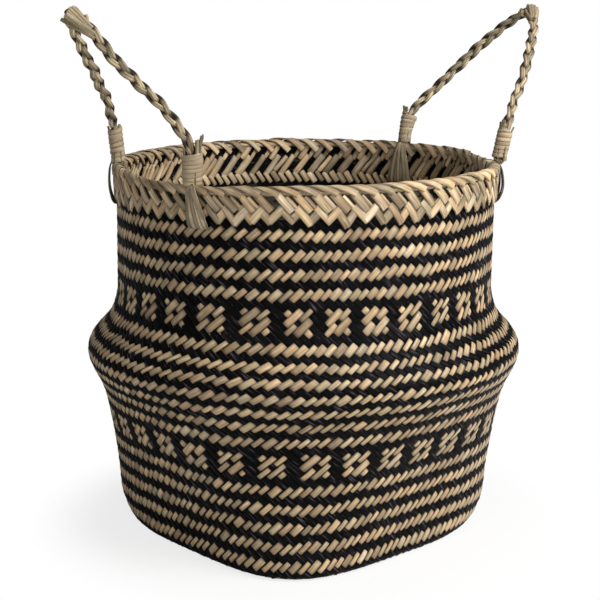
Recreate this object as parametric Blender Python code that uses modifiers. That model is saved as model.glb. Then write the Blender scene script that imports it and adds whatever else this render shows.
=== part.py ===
"""Plaited belly basket with two braided handles.

Metres, +Z up. The origin is the centre of the base's underside. The handles stand at -X (left) and +X
(right), and -Y is the front. The wall is split where the real one folds: at the belly and at the neck's foot.
"""

import math
from collections import namedtuple

import bmesh
import bpy
from mathutils import Vector

# Outer outline of the wall, measured over the corners of the squared lower half
NECK_RADIUS = 0.1500
BELLY_RADIUS = 0.1743
BASE_RADIUS = 0.1495
BELLY_HEIGHT = 0.1485
NECK_FOOT_HEIGHT = 0.2000
RIM_HEIGHT = 0.2985
WALL = 0.0030
BASE_EDGE_ROUND = 0.0080
MAT_EDGE_HEIGHT = 0.0120
STRAIGHT_FOOT_HEIGHT = 0.0150
BASE_SQUARENESS = 4.0
ROUND_SQUARENESS = 2.0
SQUARENESS_FADE = 1.5
CORNER_ANGLE = math.radians(56.5)

# Plait: every fourth of the 128 strips that run each way stands out as a rib, with pits between the ribs
PLAIT_RIBS = 32
PIT_DEPTH = 0.0014
LOWER_PLAIT_FOOT = 0.0300
LOWER_PLAIT_TOP = 0.1250
NECK_PLAIT_TOP = 0.2590

# Seams: the gap between two pieces that touch, and how far a cutter runs past what it cuts
SEAM_GAP = 0.0003
CUT_OVERRUN = 0.0050

# Rim: a band of doubled strips outside, a thinner one inside, and the strips folded over both
BORDER_THICKNESS = 0.0020
BORDER_DEPTH = 0.0228
LIP_RISE = 0.0042
LIP_OVERHANG = 0.0004

# Handles: each leans out by its own angle and reaches its own distance above its hinge line
HALF_SPREAD_ANGLE = math.radians(26.0)
LEFT_LEAN_ANGLE = math.radians(30.0)
RIGHT_LEAN_ANGLE = math.radians(39.0)
LEFT_REACH = 0.1320
RIGHT_REACH = 0.1430
BRAID_RADIUS = 0.0053
CORE_RADIUS = 0.0026
CORE_SWELL_LENGTH = 0.0110
FOOT_KNOB_RADIUS = 0.0045

# Bindings: a strand wound round each handle leg
BINDING_STRAND_RADIUS = 0.00155
BINDING_LENGTH = 0.0255
BINDING_DROP = 0.0050
BINDING_TURNS = 6
POINTS_PER_TURN = 24

# Stubs: the cut strand ends above each binding
STUB_LENGTH = 0.0120
STUB_RADIUS = 0.0015
STUB_SPLAY_ANGLE = math.radians(18.0)

# Loops: the strand that passes over the rim beside each handle foot and through the wall below the border
LOOP_WIDTH = 0.0045
LOOP_THICKNESS = 0.0020
LOOP_CORNER = 0.0030
LOOP_BOW = 0.0030
LOOP_DROP = 0.0325

# Tails: the strand ends that fan out inside the rim
TAIL_THICKNESS = 0.0016
TAIL_TOP_WIDTH = 0.0090
TAIL_BOTTOM_WIDTH = 0.0220
TAIL_LENGTH = 0.0360
TAIL_TOP_DROP = 0.0030

# Mesh fineness, in counts. A ring has a corner on each rib and one in each pit.
RING_SEGMENTS = 2 * PLAIT_RIBS
ARC_STEPS = 4
STUB_SIDES = 8

# Lower outline: share of the way from the straight foot up to the belly, and share of the swell to the
# belly's radius. Where two pieces of wall meet, both run straight up.
LOWER_OUTLINE_SHARES = (
    (0.00, 0.00),
    (0.27, 0.10),
    (0.48, 0.25),
    (0.63, 0.38),
    (0.74, 0.50),
    (0.82, 0.65),
    (0.90, 0.86),
    (0.96, 0.98),
    (0.98, 1.00),
    (1.00, 1.00),
)

# Shoulder outline: share of the way from the belly up to the neck's foot, and share of the swell that is left
SHOULDER_OUTLINE_SHARES = (
    (0.00, 1.00),
    (0.03, 1.00),
    (0.12, 0.95),
    (0.22, 0.83),
    (0.33, 0.62),
    (0.43, 0.41),
    (0.56, 0.22),
    (0.74, 0.08),
    (0.94, 0.00),
    (1.00, 0.00),
)

# Handle arch: share of the reach, and share of half the distance between its feet
ARCH_SHARES = (
    (0.20, 1.00),
    (0.28, 0.96),
    (0.38, 0.84),
    (0.50, 0.71),
    (0.62, 0.60),
    (0.75, 0.46),
    (0.86, 0.34),
    (0.94, 0.22),
    (0.985, 0.10),
    (1.00, 0.00),
)

# Sizes that follow from the ones above
RIM_OUTER_RADIUS = NECK_RADIUS + SEAM_GAP + BORDER_THICKNESS
RIM_INNER_RADIUS = NECK_RADIUS - WALL - SEAM_GAP - BORDER_THICKNESS
LIP_BOTTOM = RIM_HEIGHT - LIP_RISE
WALL_TOP = LIP_BOTTOM - SEAM_GAP
FOOT_RADIUS = (RIM_OUTER_RADIUS + RIM_INNER_RADIUS) / 2
FOOT_OFFSET = FOOT_RADIUS * math.sin(HALF_SPREAD_ANGLE)
HINGE_OFFSET = FOOT_RADIUS * math.cos(HALF_SPREAD_ANGLE)
WINDING_RADIUS = CORE_RADIUS + SEAM_GAP + BINDING_STRAND_RADIUS
BINDING_RADIUS = WINDING_RADIUS + BINDING_STRAND_RADIUS
FOOT_SWEEP = math.hypot(BINDING_RADIUS, BINDING_DROP)
HINGE_HEIGHT = RIM_HEIGHT + SEAM_GAP + FOOT_SWEEP
LOOP_PASS_HEIGHT = RIM_HEIGHT - LOOP_DROP
LOOP_TURN = (FOOT_SWEEP + SEAM_GAP + LOOP_WIDTH / 2) / FOOT_RADIUS
RIB_STEP = math.tau * NECK_RADIUS / RING_SEGMENTS

# One level of a wall, and how deep its pits are
Level = namedtuple("Level", "radius height pit", defaults=(0.0,))

# Handle name, azimuth, lean and reach; end name and which way it lies from the handle's middle
HANDLES = (
    ("left", math.pi, LEFT_LEAN_ANGLE, LEFT_REACH),
    ("right", 0.0, RIGHT_LEAN_ANGLE, RIGHT_REACH),
)
ENDS = {"left": (("front", 1), ("back", -1)), "right": (("front", -1), ("back", 1))}


def clear_scene():
    for item in list(bpy.data.objects):
        bpy.data.objects.remove(item)


def new_collection(name):
    collection = bpy.data.collections.new(name)
    bpy.context.scene.collection.children.link(collection)
    return collection


def make_material(name, colour, roughness):
    material = bpy.data.materials.new(name)
    material.use_nodes = True
    shader = material.node_tree.nodes["Principled BSDF"]
    shader.inputs["Base Color"].default_value = (*colour, 1.0)
    shader.inputs["Roughness"].default_value = roughness
    shader.inputs["Metallic"].default_value = 0.0
    return material


def add_object(name, data, colour, roughness=0.7, collection=None, parent=None):
    """Put a mesh or curve into the scene as a named piece with a material of its own."""
    piece = bpy.data.objects.new(name, data)
    (collection or PARTS).objects.link(piece)
    data.materials.append(make_material(name, colour, roughness))
    piece.parent = parent
    return piece


def squareness(height):
    """The exponent of the cross-section: a circle from the belly up, a rounded square at the foot."""
    below_belly = (BELLY_HEIGHT - height) / (BELLY_HEIGHT - STRAIGHT_FOOT_HEIGHT)
    square_share = min(1.0, max(0.0, below_belly)) ** SQUARENESS_FADE
    return ROUND_SQUARENESS + (BASE_SQUARENESS - ROUND_SQUARENESS) * square_share


def ring_points(level, row):
    """One level of the wall: a superellipse whose corners lie at the level's radius, every other point a pit."""
    exponent = squareness(level.height)
    corner_share = 2 ** (1 / exponent - 1 / 2)
    points = []
    for step in range(RING_SEGMENTS):
        azimuth = CORNER_ANGLE + math.tau * step / RING_SEGMENTS
        turned = azimuth - CORNER_ANGLE + math.pi / 4
        spread = (abs(math.cos(turned)) ** exponent + abs(math.sin(turned)) ** exponent) ** (1 / exponent)
        distance = level.radius * corner_share / spread
        if (step + row) % 2:
            distance -= level.pit
        points.append((distance * math.cos(azimuth), distance * math.sin(azimuth), level.height))
    return points


def plait_levels(foot, top, radius_at):
    """The pitted levels between two heights, each one crossing of ribs above the last."""
    count = round((top - foot) / RIB_STEP)
    heights = [foot + (top - foot) * step / count for step in range(1, count)]
    return [Level(radius_at(height), height, PIT_DEPTH) for height in heights]


def add_shell(name, levels, thickness, colour, closed_floor=False):
    """A wall through levels from the bottom up, thickened towards the inside. Its faces fold along the ribs."""
    mesh = bpy.data.meshes.new(name)
    shell = bmesh.new()
    rings = [[shell.verts.new(point) for point in ring_points(level, row)] for row, level in enumerate(levels)]
    for row, (lower, upper) in enumerate(zip(rings, rings[1:])):
        for step in range(RING_SEGMENTS):
            following = (step + 1) % RING_SEGMENTS
            face = shell.faces.new((lower[step], lower[following], upper[following], upper[step]))
            if levels[row].pit == levels[row + 1].pit == 0.0:
                continue
            if (step + row) % 2:
                bmesh.utils.face_split(face, lower[following], upper[step])
            else:
                bmesh.utils.face_split(face, lower[step], upper[following])
    if closed_floor:
        shell.faces.new(list(reversed(rings[0])))
    shell.to_mesh(mesh)
    shell.free()
    mesh.shade_smooth()
    mesh.set_sharp_from_angle(angle=math.radians(40.0))
    piece = add_object(name, mesh, colour)
    solidify = piece.modifiers.new("thickness", "SOLIDIFY")
    solidify.thickness = thickness
    solidify.offset = -1.0
    solidify.use_even_offset = True
    return piece


def make_base_mat():
    """The base mat: flat underneath, its edge turned up to meet the wall."""
    levels = []
    for step in range(ARC_STEPS + 1):
        angle = math.pi / 2 * step / ARC_STEPS
        radius = BASE_RADIUS - BASE_EDGE_ROUND * (1 - math.sin(angle))
        levels.append(Level(radius, BASE_EDGE_ROUND * (1 - math.cos(angle))))
    levels.append(Level(BASE_RADIUS, MAT_EDGE_HEIGHT))
    add_shell("base_mat", levels, WALL, NATURAL, closed_floor=True)


def lower_radius(height):
    """The lower wall's radius at a height, between the places of its outline."""
    way = (height - STRAIGHT_FOOT_HEIGHT) / (BELLY_HEIGHT - STRAIGHT_FOOT_HEIGHT)
    places = zip(LOWER_OUTLINE_SHARES, LOWER_OUTLINE_SHARES[1:])
    below, above = next(pair for pair in places if way <= pair[1][0])
    across = (way - below[0]) / (above[0] - below[0])
    swell_share = below[1] + (above[1] - below[1]) * across
    return BASE_RADIUS + (BELLY_RADIUS - BASE_RADIUS) * swell_share


def make_lower_wall():
    """The wall from the base mat to the belly, ribbed between a plain foot and a plain top."""
    plain = []
    for height_share, _ in LOWER_OUTLINE_SHARES:
        height = STRAIGHT_FOOT_HEIGHT + (BELLY_HEIGHT - STRAIGHT_FOOT_HEIGHT) * height_share
        if height < LOWER_PLAIT_FOOT or height > LOWER_PLAIT_TOP:
            plain.append(Level(lower_radius(height), height))
    plain += [Level(lower_radius(height), height) for height in (LOWER_PLAIT_FOOT, LOWER_PLAIT_TOP)]
    ribbed = plait_levels(LOWER_PLAIT_FOOT, LOWER_PLAIT_TOP, lower_radius)
    foot = Level(BASE_RADIUS, MAT_EDGE_HEIGHT + SEAM_GAP)
    levels = [foot] + sorted(plain + ribbed, key=lambda level: level.height)
    add_shell("lower_wall", levels, WALL, STRIPED)


def make_shoulder():
    """The part of the wall that folds flat when the neck is pushed down."""
    foot = BELLY_HEIGHT + SEAM_GAP
    levels = []
    for height_share, swell_share in SHOULDER_OUTLINE_SHARES:
        height = foot + (NECK_FOOT_HEIGHT - foot) * height_share
        levels.append(Level(NECK_RADIUS + (BELLY_RADIUS - NECK_RADIUS) * swell_share, height))
    add_shell("shoulder_fold", levels, WALL, STRIPED)


def anchor_azimuths():
    """The name and azimuth of each place where a handle leg is tied to the rim."""
    for side, azimuth, _, _ in HANDLES:
        for end, direction in ENDS[side]:
            yield f"{side}_{end}", azimuth + direction * HALF_SPREAD_ANGLE


def loop_azimuths():
    """The name and azimuth of each loop: beside its handle's foot, on the side away from the other foot."""
    for side, azimuth, _, _ in HANDLES:
        for end, direction in ENDS[side]:
            yield f"{side}_{end}", azimuth + direction * (HALF_SPREAD_ANGLE + LOOP_TURN)


def make_neck_wall():
    """The straight upper wall, ribbed up to its slots: one under the border for each handle loop."""
    foot = NECK_FOOT_HEIGHT + SEAM_GAP
    levels = [Level(NECK_RADIUS, foot)]
    levels += plait_levels(foot, NECK_PLAIT_TOP, lambda height: NECK_RADIUS)
    levels += [Level(NECK_RADIUS, NECK_PLAIT_TOP), Level(NECK_RADIUS, WALL_TOP)]
    neck = add_shell("neck_wall", levels, WALL, STRIPED)
    slot_width = LOOP_WIDTH + 2 * SEAM_GAP
    slot_height = LOOP_THICKNESS + 2 * SEAM_GAP
    slot_depth = WALL + 2 * CUT_OVERRUN
    for anchor, azimuth in loop_azimuths():
        mesh = bpy.data.meshes.new(f"{anchor}_slot")
        block = bmesh.new()
        bmesh.ops.create_cube(block, size=1.0)
        bmesh.ops.scale(block, vec=(slot_depth, slot_width, slot_height), verts=block.verts)
        block.to_mesh(mesh)
        block.free()
        cutter = add_object(f"{anchor}_slot", mesh, NATURAL, collection=CUTTERS)
        middle = NECK_RADIUS - WALL / 2
        cutter.location = (middle * math.cos(azimuth), middle * math.sin(azimuth), LOOP_PASS_HEIGHT)
        cutter.rotation_euler = (0.0, 0.0, azimuth)
        cutter.hide_render = True
        cutter.display_type = "WIRE"
        cut = neck.modifiers.new(f"{anchor} slot", "BOOLEAN")
        cut.operation = "DIFFERENCE"
        cut.object = cutter


def make_rim():
    """The outer and inner borders, and the lip folded over both of them and the wall."""
    border_foot = WALL_TOP - BORDER_DEPTH
    inner_face = NECK_RADIUS - WALL - SEAM_GAP
    for name, radius in (("rim_border", RIM_OUTER_RADIUS), ("inner_border", inner_face)):
        levels = [Level(radius, border_foot), Level(radius, WALL_TOP)]
        add_shell(name, levels, BORDER_THICKNESS, NATURAL)
    make_lip()


def make_lip():
    """A turned ring with a flat underside and a rounded top."""
    outer = RIM_OUTER_RADIUS + LIP_OVERHANG
    inner = RIM_INNER_RADIUS - LIP_OVERHANG
    middle = (outer + inner) / 2
    half_width = (outer - inner) / 2
    outline = []
    for step in range(2 * ARC_STEPS + 1):
        angle = math.pi * step / (2 * ARC_STEPS)
        outline.append((middle - half_width * math.cos(angle), LIP_BOTTOM + LIP_RISE * math.sin(angle)))
    mesh = bpy.data.meshes.new("rim_lip")
    profile = bmesh.new()
    corners = [profile.verts.new((radius, 0.0, height)) for radius, height in outline]
    for first, second in zip(corners, corners[1:] + corners[:1]):
        profile.edges.new((first, second))
    profile.to_mesh(mesh)
    profile.free()
    lip = add_object("rim_lip", mesh, NATURAL)
    lip.rotation_euler = (0.0, 0.0, CORNER_ANGLE)
    screw = lip.modifiers.new("turn", "SCREW")
    screw.steps = RING_SEGMENTS
    screw.render_steps = RING_SEGMENTS
    screw.use_merge_vertices = True
    screw.merge_threshold = SEAM_GAP / 10
    screw.use_smooth_shade = True


def rounded_rectangle(left, right, bottom, top, corner, bow):
    """Points round a rectangle with round corners, anticlockwise, its right side bowed outwards."""
    centres = ((right, top, -1, -1), (left, top, 1, -1), (left, bottom, 1, 1), (right, bottom, -1, 1))
    points = []
    for quarter, (side, level, inwards, upwards) in enumerate(centres):
        for step in range(ARC_STEPS):
            angle = math.pi / 2 * (quarter + step / (ARC_STEPS - 1))
            x = side + corner * (inwards + math.cos(angle))
            z = level + corner * (upwards + math.sin(angle))
            points.append((x, z))
    straight = top - bottom - 2 * corner
    for step in range(1, ARC_STEPS):
        share = step / ARC_STEPS
        points.append((right + bow * math.sin(math.pi * share), bottom + corner + straight * share))
    return points


def make_loop(anchor, azimuth):
    """A flat loop round the rim: over the lip, down outside, through the wall and up inside."""
    bounds = {
        "left": RIM_INNER_RADIUS - LIP_OVERHANG - SEAM_GAP,
        "right": RIM_OUTER_RADIUS + LIP_OVERHANG + SEAM_GAP,
        "bottom": LOOP_PASS_HEIGHT + LOOP_THICKNESS / 2,
        "top": RIM_HEIGHT + SEAM_GAP,
    }
    outer_bounds = {
        "left": bounds["left"] - LOOP_THICKNESS,
        "right": bounds["right"] + LOOP_THICKNESS,
        "bottom": bounds["bottom"] - LOOP_THICKNESS,
        "top": bounds["top"] + LOOP_THICKNESS,
    }
    inner_outline = rounded_rectangle(corner=LOOP_CORNER, bow=LOOP_BOW, **bounds)
    outer_outline = rounded_rectangle(corner=LOOP_CORNER + LOOP_THICKNESS, bow=LOOP_BOW, **outer_bounds)
    curve = bpy.data.curves.new(f"{anchor}_loop", "CURVE")
    curve.dimensions = "2D"
    curve.fill_mode = "BOTH"
    curve.extrude = LOOP_WIDTH / 2
    for outline in (outer_outline, inner_outline):
        spline = curve.splines.new("POLY")
        spline.points.add(len(outline) - 1)
        for point, (x, z) in zip(spline.points, outline):
            point.co = (x, z, 0.0, 1.0)
        spline.use_cyclic_u = True
    loop = add_object(f"{anchor}_loop", curve, HANDLE)
    loop.rotation_euler = (math.pi / 2, 0.0, azimuth)


def make_tail(anchor, azimuth):
    """The strand ends inside the rim: a thin fan, curved along the wall and wider at the bottom."""
    face = RIM_INNER_RADIUS - LIP_OVERHANG - SEAM_GAP - LOOP_THICKNESS - SEAM_GAP
    top = RIM_HEIGHT - TAIL_TOP_DROP
    mesh = bpy.data.meshes.new(f"{anchor}_tail")
    fan = bmesh.new()
    rows = []
    for level in range(ARC_STEPS + 1):
        drop_share = level / ARC_STEPS
        width = TAIL_TOP_WIDTH + (TAIL_BOTTOM_WIDTH - TAIL_TOP_WIDTH) * drop_share
        row = []
        for column in range(ARC_STEPS + 1):
            angle = azimuth + (column / ARC_STEPS - 1 / 2) * width / face
            spot = (face * math.cos(angle), face * math.sin(angle), top - TAIL_LENGTH * drop_share)
            row.append(fan.verts.new(spot))
        rows.append(row)
    for upper, lower in zip(rows, rows[1:]):
        for column in range(ARC_STEPS):
            fan.faces.new((lower[column], lower[column + 1], upper[column + 1], upper[column]))
    fan.to_mesh(mesh)
    fan.free()
    tail = add_object(f"{anchor}_tail", mesh, HANDLE)
    solidify = tail.modifiers.new("thickness", "SOLIDIFY")
    solidify.thickness = TAIL_THICKNESS
    solidify.offset = -1.0
    solidify.use_even_offset = True


def add_tube(name, points, radius, colour, parent, radii=None, fineness=2):
    """A tube with filled ends along points. Each point may have its own radius."""
    curve = bpy.data.curves.new(name, "CURVE")
    curve.dimensions = "3D"
    curve.bevel_depth = radius
    curve.bevel_resolution = fineness
    curve.use_fill_caps = True
    spline = curve.splines.new("POLY")
    spline.points.add(len(points) - 1)
    for index, spot in enumerate(points):
        spline.points[index].co = (*spot, 1.0)
        spline.points[index].radius = 1.0 if radii is None else radii[index] / radius
    spline.use_smooth = True
    return add_object(name, curve, colour, parent=parent)


def smooth_through(points, steps):
    """Points of a Catmull-Rom curve through a list of points, with a number of steps in each span."""
    ended = [points[0] * 2 - points[1]] + points + [points[-1] * 2 - points[-2]]
    result = []
    for before, start, end, after in zip(ended, ended[1:], ended[2:], ended[3:]):
        for step in range(steps):
            t = step / steps
            bend = (2 * before - 5 * start + 4 * end - after) * t**2
            twist = (3 * start - before - 3 * end + after) * t**3
            result.append((2 * start + (end - before) * t + bend + twist) / 2)
    return result + [points[-1]]


def core_radius_at(height):
    """The braid is drawn in to a thin core under the binding, and swells to full size above it."""
    binding_top = BINDING_LENGTH - BINDING_DROP
    way = min(1.0, max(0.0, (height - binding_top) / CORE_SWELL_LENGTH))
    return CORE_RADIUS + (BRAID_RADIUS - CORE_RADIUS) * math.sin(way * math.pi / 2)


def foot_knob():
    """Places and radii down the braid's foot: a dome round the hinge line, then the step into the binding."""
    knob = []
    widest = math.asin(FOOT_KNOB_RADIUS / FOOT_SWEEP)
    for step in range(1, ARC_STEPS + 1):
        angle = widest * step / ARC_STEPS
        place = Vector((0.0, FOOT_OFFSET, -FOOT_SWEEP * math.cos(angle)))
        knob.append((place, FOOT_SWEEP * math.sin(angle)))
    knob.append((Vector((0.0, FOOT_OFFSET, -BINDING_DROP - SEAM_GAP)), FOOT_KNOB_RADIUS))
    return knob


def make_braid(side, reach, hinge):
    """The handle's braid, as one tube bent into a pointed arch between its two feet."""
    binding_top = BINDING_LENGTH - BINDING_DROP
    leg = [Vector((0.0, FOOT_OFFSET, -BINDING_DROP)), Vector((0.0, FOOT_OFFSET, binding_top))]
    leg += [Vector((0.0, FOOT_OFFSET * half_share, reach * reach_share))
            for reach_share, half_share in ARCH_SHARES]
    far_leg = [mirrored(spot) for spot in reversed(leg[:-1])]
    arch = [(spot, core_radius_at(spot.z)) for spot in smooth_through(leg + far_leg, 2)]
    knob = foot_knob()
    far_knob = [(mirrored(spot), radius) for spot, radius in reversed(knob)]
    route, radii = zip(*(knob + arch + far_knob))
    add_tube(f"{side}_handle_braid", route, BRAID_RADIUS, HANDLE, hinge, radii=radii)


def mirrored(spot):
    return Vector((spot.x, -spot.y, spot.z))


def winding_points(foot):
    """One unbroken winding up a leg, with a straight run one strand thick at each end."""
    run = 2 * BINDING_STRAND_RADIUS
    turned_share = run / (math.tau * WINDING_RADIUS)
    rise = (BINDING_LENGTH - run) * BINDING_TURNS / (BINDING_TURNS + 2 * turned_share)
    run_rise = rise / BINDING_TURNS * turned_share
    first = BINDING_STRAND_RADIUS - BINDING_DROP + run_rise
    count = BINDING_TURNS * POINTS_PER_TURN
    points = []
    for step in range(count + 1):
        angle = math.tau * step / POINTS_PER_TURN
        spot = Vector((WINDING_RADIUS * math.cos(angle), WINDING_RADIUS * math.sin(angle), 0.0))
        points.append(spot + Vector((0.0, foot, first + rise * step / count)))
    run_step = Vector((0.0, run, run_rise))
    return [points[0] - run_step] + points + [points[-1] + run_step]


def least_gap(points, radius):
    """The least space between the turns of a winding, measured between its points."""
    least = math.inf
    for index, spot in enumerate(points):
        for other in points[index + POINTS_PER_TURN // 2:]:
            least = min(least, (spot - other).length)
    return least - 2 * radius


def make_binding(anchor, foot, hinge):
    points = winding_points(foot)
    gap = least_gap(points, BINDING_STRAND_RADIUS)
    print(f"{anchor}_binding: least gap between turns {gap * 1000:.2f} mm")
    add_tube(f"{anchor}_binding", points, BINDING_STRAND_RADIUS, HANDLE, hinge, fineness=1)


def make_stub(anchor, foot, hinge):
    """The cut ends of the leg's strands, splayed outwards above the binding."""
    mesh = bpy.data.meshes.new(f"{anchor}_stub")
    cone = bmesh.new()
    bmesh.ops.create_cone(cone, cap_ends=True, segments=STUB_SIDES, depth=STUB_LENGTH,
                          radius1=STUB_RADIUS, radius2=STUB_RADIUS / 2)
    bmesh.ops.translate(cone, vec=(0.0, 0.0, STUB_LENGTH / 2), verts=cone.verts)
    cone.to_mesh(mesh)
    cone.free()
    stub = add_object(f"{anchor}_stub", mesh, HANDLE, parent=hinge)
    base = BINDING_LENGTH - BINDING_DROP + SEAM_GAP + STUB_RADIUS * math.sin(STUB_SPLAY_ANGLE)
    stub.location = (WINDING_RADIUS, foot, base)
    stub.rotation_euler = (0.0, STUB_SPLAY_ANGLE, 0.0)


def make_handle(side, azimuth, lean, reach):
    """A handle and its bindings, all carried by an empty on the handle's hinge line."""
    hinge = bpy.data.objects.new(f"{side}_handle_hinge", None)
    PARTS.objects.link(hinge)
    hinge.location = (HINGE_OFFSET * math.cos(azimuth), HINGE_OFFSET * math.sin(azimuth), HINGE_HEIGHT)
    hinge.rotation_euler = (0.0, lean, azimuth)
    make_braid(side, reach, hinge)
    for end, direction in ENDS[side]:
        foot = direction * FOOT_OFFSET
        make_binding(f"{side}_{end}", foot, hinge)
        make_stub(f"{side}_{end}", foot, hinge)


NATURAL = (0.47, 0.36, 0.22)
STRIPED = (0.20, 0.16, 0.11)
HANDLE = (0.40, 0.33, 0.20)

clear_scene()
PARTS = new_collection("rush_basket")
CUTTERS = new_collection("cutters")

make_base_mat()
make_lower_wall()
make_shoulder()
make_neck_wall()
make_rim()
for loop_name, loop_azimuth in loop_azimuths():
    make_loop(loop_name, loop_azimuth)
for anchor_name, anchor_azimuth in anchor_azimuths():
    make_tail(anchor_name, anchor_azimuth)
for handle in HANDLES:
    make_handle(*handle)
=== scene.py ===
"""The dressed rush basket: a plaited wall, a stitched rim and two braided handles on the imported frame.

Metres, +Z up. The origin is the centre of the base's underside. The wall is one bias plait of 128 natural
and 128 black strips. A place on it is (u, v): u counts half strips round the basket from its front corner,
and v counts rows of crossings upwards from the upper row of motifs.
"""

import math

import bpy
import numpy as np
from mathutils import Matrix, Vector


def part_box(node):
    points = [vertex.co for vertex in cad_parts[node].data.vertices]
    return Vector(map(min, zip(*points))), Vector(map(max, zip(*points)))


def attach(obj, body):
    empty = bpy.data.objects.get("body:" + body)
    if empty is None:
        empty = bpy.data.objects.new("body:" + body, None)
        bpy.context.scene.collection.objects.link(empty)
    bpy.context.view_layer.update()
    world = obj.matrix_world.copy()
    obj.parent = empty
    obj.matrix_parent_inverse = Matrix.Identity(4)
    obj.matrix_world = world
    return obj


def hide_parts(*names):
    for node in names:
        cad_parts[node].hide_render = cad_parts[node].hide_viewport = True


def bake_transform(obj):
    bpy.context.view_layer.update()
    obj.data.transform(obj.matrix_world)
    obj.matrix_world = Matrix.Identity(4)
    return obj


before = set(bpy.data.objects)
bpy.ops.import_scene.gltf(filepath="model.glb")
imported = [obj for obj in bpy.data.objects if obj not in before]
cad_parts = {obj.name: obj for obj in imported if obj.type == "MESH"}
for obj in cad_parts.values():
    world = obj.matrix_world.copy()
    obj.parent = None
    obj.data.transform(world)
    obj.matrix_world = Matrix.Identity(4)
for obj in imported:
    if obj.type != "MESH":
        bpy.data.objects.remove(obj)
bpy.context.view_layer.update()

MM = 0.001

# Wall outline, as the solids have it
RIM_SINK = 0.0025
RIM_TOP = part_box("rim_lip")[1].z - RIM_SINK
BELLY_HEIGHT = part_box("lower_wall")[1].z
NECK_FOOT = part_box("shoulder_fold")[1].z
NECK_RADIUS = 0.1500
BELLY_RADIUS = 0.1743
BASE_RADIUS = 0.1495
BASE_EDGE_ROUND = 0.0080
STRAIGHT_FOOT = 0.0150
BASE_SQUARENESS = 4.0
ROUND_SQUARENESS = 2.0
SQUARENESS_FADE = 1.5
CORNER_ANGLE = math.radians(56.5)
FRONT_CORNER = CORNER_ANGLE - math.pi
LOWER_OUTLINE_SHARES = (
    (0.00, 0.00), (0.27, 0.10), (0.48, 0.25), (0.63, 0.38), (0.74, 0.50),
    (0.82, 0.65), (0.90, 0.86), (0.96, 0.98), (0.98, 1.00), (1.00, 1.00),
)
SHOULDER_OUTLINE_SHARES = (
    (0.00, 1.00), (0.03, 1.00), (0.12, 0.95), (0.22, 0.83), (0.33, 0.62),
    (0.43, 0.41), (0.56, 0.22), (0.74, 0.08), (0.94, 0.00), (1.00, 0.00),
)
OUTLINE_STEP = 0.0005
OUTLINE_BLUR = 0.0035

# Hand-made lean: the neck stands a little to one side of the base
LEAN = 0.0040
LEAN_DIRECTION = (0.862, -0.507)
LEAN_CENTRE = 0.1500

# Plait
STRIPS = 128
HALF_STEPS = 2 * STRIPS
CROSSING_SPACING = 5.19 * MM
ZERO_ROW_HEIGHT = 198.0 * MM
NECK_TIGHTNESS = 1.022
TOP_ROW = 26
BOTTOM_ROW = -67
LEAST_ROW_SHARE = 0.1
WALL_MIDDLE_DEPTH = 1.05 * MM
STRIP_THICKNESS = 0.75 * MM
WEAVE_LIFT = 0.42 * MM
ARCH_LIFT = 0.22 * MM
PIECES_PER_COLOUR = 4
NATURAL_WIDTH_SHARE = 0.97
BLACK_WIDTH_SHARE = 0.97
WIDTH_CHANGE_SHARES = (0.08, 0.24)
# Painted light on each float: a painted highlight towards its upper end, painted shade where a face lies
# under the other colour, and painted shade at both of its ends
END_HIGHLIGHT_TONES = (0.88, 1.32)
HIDDEN_SHADE_TONE = 0.12
COVERED_LIFTS = (-0.8, -0.2)
END_SHADE_SHARE = 0.52
END_FADE_SHARES = (0.2, 0.16)
FLOAT_WIDTH_SHARES = (0.95, 1.03)
FLOAT_LIFT_CHANGE = 0.05
NATURAL_TONE = (0.80, 0.11)
NATURAL_TONE_LIMITS = (0.5, 1.05)
NATURAL_STRIP_SHARES = (0.93, 1.04)
BLACK_TONES = (0.6, 1.2)
# Most strips are wide and narrow by turns, and places are evened out over this many neighbours
ALTERNATE_SHARE = 0.85
NEAR_STRIPS = 4
# Hand-made unevenness: azimuth, reach round the wall, and how far strips lie off at the foot and the neck
UNEVEN_PLACES = (
    (math.radians(-168.5), math.radians(32), math.radians(-5.3), math.radians(-3.4)),
    (math.radians(-125.5), math.radians(16), 0.0, math.radians(2.0)),
)
UNEVEN_FOOT = 0.10
UNEVEN_NECK = 0.19
DIVE_SHARES = ((0.28, 0.85), (0.48, 0.20), (0.60, -0.55), (0.78, -0.95))
NATURAL_BAND_PAIRS = (5, 9, 13, 17, -6, -10, -14, -18, -22, -26, -30, -41, -45, -49, -53, -57, -61)
MOTIF_ROWS = ((0, 0), (-35, -3))
MOTIF_SPACING = 8
MOTIF_REACH = 2
BLACKENED_ROW = 18.6
BLACKENED_FADE = 0.4

# Base mat
MAT_PITCH = 4.87 * MM
MAT_WIDTH_SHARE = 0.95
MAT_REACH = 143.5 * MM
MAT_LAP = 5.0 * MM
MAT_MIDDLE = 1.25 * MM
FLOOR_GAP = 0.25 * MM
# The base's corners, but for the front one, are drawn in near the floor
CORNER_TUCK = 10.0 * MM
CORNER_TUCK_HEIGHT = 30.0 * MM
CORNER_TUCK_REACH = math.radians(42)
FRONT_KEPT_SHARES = (0.3, 0.9)

# Rim: rows of stitches, whose pattern repeats this many times round the mouth
BORDER_UNITS = 70
BORDER_UNIT = HALF_STEPS / BORDER_UNITS
BORDER_FACE = 150.4 * MM
BORDER_STITCH_WIDTH = 5.8 * MM
STITCH_THICKNESS = 0.9 * MM
STITCH_TONES = (0.5, 0.62, 0.72, 0.78, 0.88, 1.08)
BORDER_BACKING_HEIGHTS = (276.5 * MM, 283.0 * MM, 289.0 * MM)
INNER_FACE = 147.6 * MM
INNER_BACKING_HEIGHTS = (255.5 * MM, 263.0 * MM, 270.5 * MM, 278.0 * MM, 285.5 * MM)
BACKING_THICKNESS = 0.5 * MM
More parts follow.
